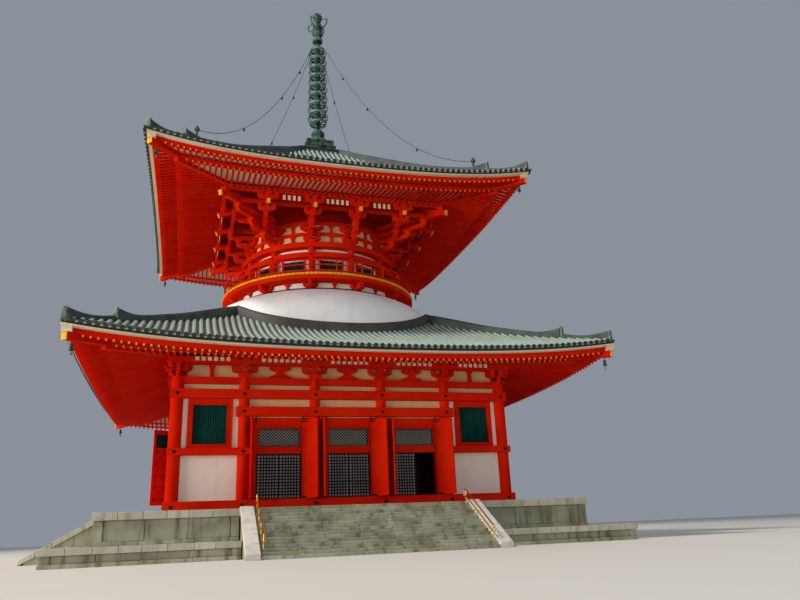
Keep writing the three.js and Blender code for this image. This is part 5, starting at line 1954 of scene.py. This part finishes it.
@dataclass
class Mound:
    """The white mound: upright at its foot, then an arc of an ellipse up to a dark ring at its top.

    The arc is (centre + reach cos a, spring + tall sin a), with a from 0 to where its radius is the top's.
    """

    centre: float = 3.0
    top_r: float = 7.3
    top_z: float = 19.05
    foot_r: float = 10.3
    spring: float = 16.2
    foot: float = 14.4
    eye: float = 5.4
    wall: float = 0.4

    def arc(self, offset: float, steps: int) -> list[list[float]]:
        """[radius, z] of the surface at a depth below the outer one."""
        reach = self.foot_r - self.centre
        end = np.arccos((self.top_r - self.centre) / reach)
        tall = (self.top_z - self.spring) / np.sin(end)
        angle = np.linspace(0, end, steps)
        across, up = (reach - offset) * np.cos(angle), (tall - offset) * np.sin(angle)
        return points_of(self.centre + across, self.spring + up).tolist()

    def build(self) -> None:
        """Turns the profile about the axis, with the dark ring at its top."""
        r, z, sides = self.top_r, self.top_z, 128
        outer = [(self.foot_r, self.foot), *self.arc(0, 24), (self.eye, z), (self.eye, z - self.wall)]
        inner = [*self.arc(self.wall, 8)[::-1], (self.foot_r - self.wall, self.foot)]
        piece = Piece("plaster_mound", Slot.PLASTER)
        piece.add(lathe([*outer, *inner], sides), MOUND_WHITE)
        piece.add(ring((r - 0.12, r + 0.06), (z - 0.06, z + 0.07), sides), IRON_AND_SHADE)
        piece.build("mound")


@dataclass
class Balcony:
    """The round balcony: bracket sets on a white wall, a rim beam with a yellow strip, deck and rails."""

    wall: Pair = (6.7, 7.0)
    foot: float = MOUND_SEAT
    rim_r: float = 8.15
    rim: Pair = (19.64, 19.95)
    strip_top: float = 20.15
    rail_r: float = 8.0

    def bracket(self) -> Shape:
        """A curved arm along the wall, an arm outward and their blocks, at the front."""
        z0, z1 = self.foot, self.rim[0]
        s = np.linspace(-1, 1, 13)
        under = z0 + 0.12 + 0.26 * np.abs(s) ** 3
        outline = np.vstack([points_of(s * 0.6, under), [(0.6, z1 - 0.16), (-0.6, z1 - 0.16)]])
        arm = plate(outline, (7.0, 7.24))
        under_out = [(6.95, z0 + 0.1), (7.35, z0 + 0.1), (7.8, z0 + 0.3), (7.95, z1 - 0.14)]
        out = fin([*under_out, (7.95, z1), (6.95, z1)], (-0.13, 0.13))
        foot = blocks((-0.2, 0.2), (6.99, 7.3), (z0, z0 + 0.2))
        pads = blocks(([-0.6, 0.36], [-0.36, 0.6]), (6.99, 7.28), (z1 - 0.16, z1))
        return joined([arm, out, foot, pads])

    def strut(self) -> Shape:
        """A small strut with a block between two bracket sets."""
        z0, z1 = self.foot, self.rim[0]
        upright = blocks((-0.09, 0.09), (6.99, 7.12), (z0, z1 - 0.2))
        return joined([upright, blocks((-0.18, 0.18), (6.99, 7.22), (z1 - 0.2, z1))])

    def deck(self) -> None:
        """Wall, brackets, rim, strip and deck."""
        piece = Piece("balcony_and_brackets", Slot.VERMILION)
        piece.add(ring(self.wall, (self.foot, self.rim[0])), WHITE)
        piece.add([self.bracket().copied(15 + TWELFTHS), self.strut().copied(TWELFTHS)], VERMILION)
        rim = ring((self.wall[0], self.rim_r), self.rim)
        lip = ring((self.rim_r - 0.3, self.rim_r), (self.strip_top - 0.04, self.strip_top))
        inner = ring((DRUM_FACE, self.rim_r - 0.05), (self.rim[1] + 0.001, self.strip_top - 0.04))
        piece.add([rim, lip, inner], VERMILION)
        start = np.arange(0, 360, 2.5)
        strip_r = (self.rim_r - 0.04, self.rim_r + 0.03)
        strip_z = (self.rim[1] + 0.015, self.strip_top - 0.02)
        plates = arcs(strip_r, strip_z, start, start + 2.2, 1)
        piece.add(plates, BALCONY_GOLD)
        piece.build("balcony_deck", bevel=0.006)

    def railing(self) -> None:
        """Three rails on posts, with low blocks under the bottom rail."""
        r = self.rail_r
        profile = smooth([(r - 0.08, 21.22), (r, 21.3), (r + 0.08, 21.22), (r, 21.14)], 3)
        top = lathe(profile.tolist(), 96)
        base = ring((r - 0.06, r + 0.06), (20.25, 20.37))
        middle = ring((r - 0.045, r + 0.045), (20.76, 20.84))
        angle = 15.0 * np.arange(24)
        low = blocks((-0.06, 0.06), (r - 0.06, r + 0.06), (DECK_SEAT, 20.26))
        post = blocks((-0.05, 0.05), (r - 0.05, r + 0.05), (20.3, 21.2))
        piece = Piece("balcony_rails", Slot.VERMILION)
        piece.add([top, base, middle, low.copied(angle), post.copied(angle)], VERMILION)
        piece.build("balcony_railing")

    def build(self) -> None:
        """The balcony's two pieces."""
        self.deck()
        self.railing()


@dataclass
class Drum:
    """The round storey: a white wall with dark windows between twelve columns, and two red rings."""

    inner: float = 5.5
    outer: float = 5.9
    foot: float = MOUND_SEAT
    top: float = 23.33
    column_r: float = 6.2
    window: Pair = (20.45, 21.95)
    half: float = 9.5
    ring_low: Pair = (22.06, 22.48)
    ring_high: Pair = (22.88, 23.33)

    def wall(self) -> None:
        """Rings under and over the windows and the piers between them."""
        piece = Piece("round_wall", Slot.PLASTER)
        r, (z0, z1) = (self.inner, self.outer), self.window
        low, high = ring(r, (self.foot, z0)), ring(r, (z1, self.top))
        piers = arcs(r, (z0, z1), TWELFTHS + self.half, TWELFTHS + 30 - self.half, 4)
        piece.add([low, high, piers], WHITE)
        piece.build("drum_wall")

    def windows(self) -> None:
        """Dark panels with upright bars between the columns."""
        z0, z1 = self.window
        piece = Piece("round_windows", Slot.GREEN)
        sheet = arcs((5.6, 5.68), (z0, z1), TWELFTHS - self.half, TWELFTHS + self.half, 4)
        piece.add([sheet, ring((5.38, 5.499), (z0 - 0.1, z1 + 0.1))], NIGHT)
        bar = np.linspace(-self.half + 0.8, self.half - 0.8, 11)
        angle = (TWELFTHS[:, None] + bar).reshape(-1)
        bars = blocks((-0.03, 0.03), (5.69, 5.75), (z0, z1)).copied(angle)
        piece.add(bars, TEAL)
        piece.build("drum_windows")

    def timber(self) -> None:
        """Columns, rings, window trims, and nail covers on the rings."""
        turn = 15 + TWELFTHS
        r, half, top, (z0, z1) = 0.27, self.half, self.ring_high[0] + 0.02, self.window
        profile = [(0, DECK_SEAT), (r, DECK_SEAT), (r, top), (0, top)]
        column = lathe(profile, 20).copied(0.0, (0, -self.column_r, 0)).copied(turn)
        rings = [ring((DRUM_FACE, 6.45), self.ring_low), ring((DRUM_FACE, 6.55), self.ring_high)]
        sides = np.concatenate([TWELFTHS - half, TWELFTHS + half - 1.0])
        jambs = arcs((self.outer, 6.02), (z0 - 0.15, z1 + 0.11), sides, sides + 1.0, 1)
        rails = arcs((self.outer, 6.02), (z0 - 0.3, z0), TWELFTHS - half - 1, TWELFTHS + half + 1, 4)
        covers = rods((0, -6.44, 22.27), (0, -6.5, 22.27), (0.1, 0.06), 10).copied(turn)
        piece = Piece("round_timber", Slot.VERMILION)
        piece.add([column, *rings, jambs, rails], VERMILION).add(covers, IRON_AND_SHADE)
        piece.build("drum_frame", bevel=0.008)

    def build(self) -> None:
        """Wall, windows and timber."""
        self.wall()
        self.windows()
        self.timber()


@dataclass
class UpperBrackets:
    """Four tiers of bracket arms from the round core out to the square purlin."""

    core: Pair = (5.6, 6.15)
    foot: float = 23.3306
    top: float = 26.5
    purlin: Pair = (8.45, 8.75)
    purlin_foot: float = 26.15
    near: float = 1.8
    far: float = 5.4
    band_z: tuple[float, ...] = (24.02, 24.3, 24.95, 25.25)

    def lines(self) -> list[float]:
        """The x of the outward arms on one side."""
        return [-self.far, -self.near, self.near, self.far]

    def core_rings(self, piece: Piece) -> None:
        """White bands and red rings of the core, with struts over the white; the top ring takes the darker
        red of painted deep shade.
        """
        r0, r1 = self.core
        z0, z1, z2, z3, z4 = self.foot, *self.band_z
        bands = [(z0, z1, TAN), (z1, z2, VERMILION), (z2, z3, TAN), (z3, z4, VERMILION)]
        # painted shade: the ring at the top is given the darker red of deep shade
        for low, high, finish in (*bands, (z4, self.top, DUSK_RED)):
            piece.add(ring((r0, r1 - 0.15 if finish is TAN else r1), (low, high)), finish)
        strut = blocks((-0.11, 0.11), (5.98, 6.16), ([z0, z2], [z1, z3]))
        cap = blocks((-0.19, 0.19), (5.98, 6.22), ([23.86, 24.78], [z1, z3]))
        piece.add(joined([strut, cap]).copied(TWELFTHS), VERMILION)

    def wall_arms(self) -> Shape:
        """Curved arms along the wall over each column, in two tiers."""
        parts = []
        for z0, z1, half in ((23.42, 23.84, 0.7), (24.36, 24.76, 0.95)):
            parts.append(plate(curved_arm(half, z0, z1, 0.7, 3, 13), (5.95, 6.28)))
            ends = np.array([-half, half - 0.26])
            parts.append(blocks((ends, ends + 0.26), (5.95, 6.32), (z1, z1 + 0.18)))
        parts.append(blocks((-0.26, 0.26), (5.95, 6.5), (self.foot, 23.56)))
        return joined(parts).copied(15 + TWELFTHS)

    def arm(self, root: float, reach: float, low: float, tiers: int, width: float) -> Shape:
        """Stepped arms outward: each tier a curved arm that reaches further, with a block at its end."""
        parts = []
        run = (reach - root) / tiers
        rise = (self.purlin_foot - low) / tiers
        for i in range(tiers):
            end, z = root + run * (i + 1), low + rise * i
            tall = rise * 0.58
            under = [(root - 0.1, z), (end - 0.35, z), (end - 0.12, z + tall * 0.3), (end, z + tall * 0.7)]
            parts.append(fin([*under, (end, z + tall), (root - 0.1, z + tall)], (-width, width)))
            parts.append(bearing_block(width * 1.5, z + tall, z + rise + 0.02, end - width * 1.3))
        return joined(parts)

    def cross_arms(self, p: float, z: float, x: float, half: float = 0.8) -> Shape:
        """A curved arm across the end of an outward arm, with three blocks."""
        arm = plate(curved_arm(half, z, z + 0.36), (p - 0.12, p + 0.12))
        pads = [bearing_block(0.17, z + 0.36, z + 0.58, p, at) for at in (-half + 0.17, 0.0, half - 0.17)]
        return joined([arm, *pads]).copied(0.0, (x, 0, 0))

    def infill(self) -> tuple[Shape, Shape, Shape]:
        """A board between the cross arms under the purlin, white plates on it, and dark strips over them:
        painted shadow between the rafters.
        """
        pitch = 0.39
        five, four = (np.arange(5) - 2) * pitch, (np.arange(4) - 1.5) * pitch
        middle = (self.near + self.far) / 2
        x = np.concatenate([five, four - middle, four + middle])
        face = self.purlin[0] + 0.15
        low, high = 25.6, self.purlin_foot + 0.01
        back = blocks((-self.far, self.far), (face - 0.1, face), (low, high)).four()
        plates = blocks((x - 0.1, x + 0.1), (face, face + 0.02), (low + 0.05, high - 0.11)).four()
        at = (np.arange(35) - 17) * 0.47
        out = self.purlin[1]
        # painted shadow: dark strips in nail-cover paint on the purlin's face, for the shade between the
        # rafters over it
        painted_shadow_z = (self.purlin_foot + 0.1, self.purlin_foot + 0.24)
        dark = blocks((at - 0.07, at + 0.07), (out, out + 0.012), painted_shadow_z).four()
        return back, plates, dark

    def tails(self) -> tuple[Shape, Shape]:
        """Sloping tail beams whose painted ends stand out past the arms."""
        start, end = points_of(self.lines(), -8.95, 25.3), points_of(self.lines(), -6.6, 26.25)
        side = beams(start, end, 0.24, 0.34)
        line = unit(end - start)
        cap = beams(start - line * 0.02, start + line * 0.06, 0.26, 0.36)
        a, b = np.array([0, -12.7, 25.6]), np.array([0, -9.4, 26.5])
        corner = beams(a, b, 0.28, 0.38)
        step = unit(b - a)
        corner_cap = beams(a - step * 0.02, a + step * 0.07, 0.3, 0.4)
        return joined([side.four(), corner.copied(CORNERS)]), joined([cap.four(), corner_cap.copied(CORNERS)])

    def build(self) -> None:
        """Joins the core, the arms, the beams between them and the tails."""
        piece = Piece("upper_bracket_tiers", Slot.VERMILION)
        self.core_rings(piece)
        reach = self.purlin[1]
        middle = self.arm(5.83, reach, 23.6, 4, 0.15).copied(0.0, [(-self.near, 0, 0), (self.near, 0, 0)])
        outer = self.arm(5.25, reach, 24.3, 3, 0.15).copied(0.0, [(-self.far, 0, 0), (self.far, 0, 0)])
        diagonal = self.arm(self.core[1], reach * np.sqrt(2), 23.6, 4, 0.17).copied(45.0)
        crossing = [self.cross_arms(8.6, 25.57, x) for x in self.lines()]
        crossing += [self.cross_arms(7.75, 25.0, x, 0.7) for x in self.lines()]
        beam_low = carried_board((7.62, 7.88), (25.58, 25.85))
        beam = carried_board(self.purlin, (self.purlin_foot, self.top))
        board = carried_board((4.3, 8.5), (26.3, 26.34))
        tails, caps = self.tails()
        back, plates, dark = self.infill()
        piece.add(joined([middle, outer, diagonal, *crossing]).four(), VERMILION)
        piece.add([self.wall_arms(), beam_low, beam, tails], VERMILION)
        # painted shade: the board behind the cross arms and the ceiling board take the darker red of deep
        # shade
        piece.add([back, board], DUSK_RED).add(caps, GOLD)
        piece.add(plates, BOARD_WHITE).add(dark, NAIL_AND_SHADOW)
        piece.build("upper_brackets")


@dataclass
class Finial:
    """The bronze finial: base, lotus, bowl, nine rings with hanging scrolls, neck and crown."""

    ring_z: Pair = (38.25, 46.5)
    ring_r: Pair = (1.0, 0.84)
    rings: int = 9
    hoop: float = 0.78
    bulge: float = 0.19
    foot: float = 35.8506

    def base(self) -> None:
        """The stepped box, with mouldings and corner pilasters."""
        piece = Piece("finial_box", Slot.BRONZE)
        body = blocks((-1.39, 1.39), (-1.39, 1.39), (33.9, 35.1))
        rims = [
            carried_board((1.0, 1.45), (35.1, 35.2)),
            carried_board((1.0, 1.45), (34.2, 34.32)),
            blocks((-1.2, 1.2), (-1.2, 1.2), (35.18, 35.7)),
            blocks((-1.27, 1.27), (-1.27, 1.27), (35.7, 35.85)),
            blocks(([-1.27, 1.12], [-1.12, 1.27]), (1.19, 1.24), (35.2, 35.7)).four(),
            blocks((-0.1, 0.1), (1.19, 1.23), (35.2, 35.7)).four(),
        ]
        piece.add([body, *rims], BRONZE).build("finial_base", bevel=0.015)

    def petals(self, r: float, z: float, count: int, tall: float, flare: float) -> Shape:
        """Leaves round a ring: each a pointed blade that curves outward."""
        s = np.linspace(0, 1, 7)
        width = 0.9 * r * np.sin(np.pi / count) * np.sin(np.pi * (0.15 + 0.85 * s)) ** 0.6 * 1.1
        width[-1] = 0.01
        out = r * 0.75 + flare * s**1.6
        rows = []
        for thick in (0.0, 0.03):
            rows.append(points_of(-width, -(out + thick), z + tall * s - thick))
            rows.append(points_of(width, -(out + thick), z + tall * s - thick))
        sections = np.stack([rows[0], rows[1], rows[3], rows[2]], 1)
        return loft(sections).copied(360.0 / count * np.arange(count))

    def loops(self, low: Pair, high: Pair) -> Shape:
        """Eight C-shaped loops between two rings: out from one hoop, past the edge and back to the other.

        Args:
            low, high: the hoop's radius and the height of the lower and of the upper ring.
        """
        s = np.linspace(0, 1, 11)
        r = low[0] + (high[0] - low[0]) * s + self.bulge * np.sin(np.pi * s) ** 0.6
        z = low[1] + 0.1 + (high[1] - low[1] - 0.2) * s
        path = points_of(0.0, -r, z)
        curl = np.linspace(0, 1.6 * np.pi, 9)
        middle = len(s) // 2
        centre = path[middle] + [0, 0.13, 0]
        inner = centre + points_of(0.0, -0.09 * np.cos(curl), 0.16 * np.sin(curl))
        both = [tube(path, 0.035, (1, 0, 0), 6), tube(inner, 0.028, (1, 0, 0), 6)]
        return joined(both).copied(22.5 + 45.0 * np.arange(8))

    def mast(self) -> None:
        """Lotus, bowl, shaft, rings and neck."""
        foot = self.foot
        lotus = smooth([(0.75, foot), (0.68, foot + 0.2), (0.5, foot + 0.45), (0.47, foot + 0.7)], 4)
        bowl = smooth([(0.5, 36.7), (0.63, 36.95), (0.6, 37.15), (0.4, 37.4), (0.22, 37.6), (0.17, 37.75)], 4)
        neck = smooth([(0.17, 47.35), (0.5, 47.5), (0.3, 47.75), (0.3, 47.9), (0.5, 48.35), (0.52, 48.55)], 4)
        shaft = [*lotus.tolist(), *bowl.tolist(), (0.17, 47.3), *neck.tolist()]
        profile = [(0, foot), *shaft, (0.5, 48.6), (0, 48.6)]
        share = np.linspace(0, 1, self.rings)
        z = self.ring_z[0] + (self.ring_z[1] - self.ring_z[0]) * share
        r = self.ring_r[0] + (self.ring_r[1] - self.ring_r[0]) * share
        r = r * self.hoop
        hoops, hubs = [], []
        for height, size in zip(z, r):
            hoops.append(ring((size - 0.06, size), (height - 0.1, height + 0.1), 32))
            hoops.append(ring((size - 0.07, size + 0.02), (height - 0.12, height - 0.07), 32))
            hoops.append(ring((size - 0.07, size + 0.02), (height + 0.07, height + 0.12), 32))
            spoke = beams((0.1, 0, height), (size - 0.05, 0, height), 0.07, 0.1)
            hub = ring((0.16, 0.3), (height - 0.1, height + 0.1), 24)
            hubs += [spoke.copied(45.0 * np.arange(8)), hub]
        gaps = zip(zip(r[:-1], z[:-1]), zip(r[1:], z[1:]))
        scrolls = [self.loops(low, high) for low, high in gaps]
        piece = Piece("finial_rings", Slot.BRONZE)
        piece.add(lathe(profile, 32), BRONZE).add(hoops, BRONZE_PALE).add([*hubs, *scrolls], BRONZE)
        piece.add(self.petals(0.8, foot + 0.02, 8, 0.55, 0.22), BRONZE_PALE)
        leaves = [self.petals(0.4, 47.5, 8, 0.42, 0.22), self.petals(0.38, 48.0, 8, 0.5, 0.26)]
        piece.add(leaves, BRONZE_PALE)
        piece.build("finial_mast")

    def crown(self) -> None:
        """The flaming jewel on its dome, with four prongs that curve out and back in, each with a spur."""
        dome = [(0.3, 48.6), (0.49, 48.85), (0.5, 49.15), (0.36, 49.42)]
        jewel = [(0.3, 49.8), (0.34, 50.02), (0.45, 50.35), (0.36, 50.7), (0.12, 50.95)]
        profile = [(0, 48.6006), *smooth(dome + jewel, 4).tolist(), (0, 51.1)]
        bend = [(0.1, 48.97), (0.7, 49.1), (1.06, 49.38), (1.14, 49.66), (0.98, 49.9), (0.5, 50.12)]
        spine = smooth(bend, 4)
        path = points_of(0.0, -spine[:, 0], spine[:, 1])
        prong = tube(path, np.linspace(0.075, 0.045, len(path)), (1, 0, 0), 8)
        spur = rods((0, -1.08, 49.7), (0, -1.2, 50.05), (0.06, 0.015), 6)
        turn = 45.0 * np.arange(8)
        flames = []
        for i, z in enumerate((50.15, 50.4, 50.62)):
            r = float(np.interp(z, (50.02, 50.35, 50.7), (0.34, 0.45, 0.36)))
            flame = rods((0, -r + 0.05, z), (0, -r - 0.07, z + 0.24), (0.06, 0.01), 6)
            flames.append(flame.copied(turn + 22.5 * i))
        prongs = joined([prong, spur]).copied(CORNERS)
        piece = Piece("finial_jewel", Slot.BRONZE)
        piece.add([lathe(profile, 24), prongs, *flames], BRONZE)
        piece.build("finial_crown")

    def build(self) -> None:
        """The finial's three pieces."""
        self.base()
        self.mast()
        self.crown()


def record_size() -> None:
    """Gathers the CAD box and the dressed model's box as lists."""
    boxes = {"cad": CAD_BOX, "visual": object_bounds()}
    lists = {key: [list(corner) for corner in box] for key, box in boxes.items()}


def main() -> None:
    """Builds the camera and the chains first, then the pagoda from the ground up."""
    logging.basicConfig(level=logging.INFO, format="%(message)s")
    Studio().build()
    Chains().build()
    Terrace("lower_terrace", 17.15, 17.25, 0.35, 0.0, 0.96, 2.1, 7.3006, True).build()
    Terrace("upper_terrace", 15.0, 15.1, 0.42, 0.9606, 2.7, 2.3, 7.3, False).build()
    stair = Stair()
    stair.build()
    Handrails(stair=stair).build()
    Hall().build()
    Doorways().build()
    LatticeLeaf().build()
    leaf = PlankLeaf()
    leaf.build()
    leaf.closed()
    LowerBrackets().build()
    Eaves(
        "lower_eaves_timber", "lower_eaves", 0.91, 11.9, 17.1, (11.7, 11.81), (11.38, 11.71),
        RafterTier((16.8, 11.29), (14.3, 12.1)), RafterTier((15.2, 11.53), (11.0, 12.6)), 11.3, 0.0146,
    ).build()
    TileRoof("lower_roof_tiles", "lower_roof", LOWER_FORM, 10.45, 6.6, 11.82).build()
    LowerRidges("lower_hip_ridges", LOWER_FORM, LOWER_TIERS, ((14.78, 14.5), (17.1, 13.66))).build()
    Mound().build()
    Balcony().build()
    Drum().build()
    UpperBrackets().build()
    Eaves(
        "upper_eaves_timber", "upper_eaves", 0.97, 8.75, 13.75, (26.17, 26.3), (25.84, 26.18),
        RafterTier((13.47, 25.8), (11.3, 26.4)), RafterTier((12.05, 25.8), (8.0, 26.75)), 8.4, 0.021,
    ).build()
    TileRoof("upper_roof_tiles", "upper_roof", UPPER_FORM, 0.0, 1.72, 26.31, levels=26, steps=14).build()
    UpperRidges("upper_hip_ridges", UPPER_FORM, UPPER_TIERS, ((11.62, 29.1), (13.9, 28.18))).build()
    Finial().build()
    record_size()


if __name__ == "__main__":
    main()
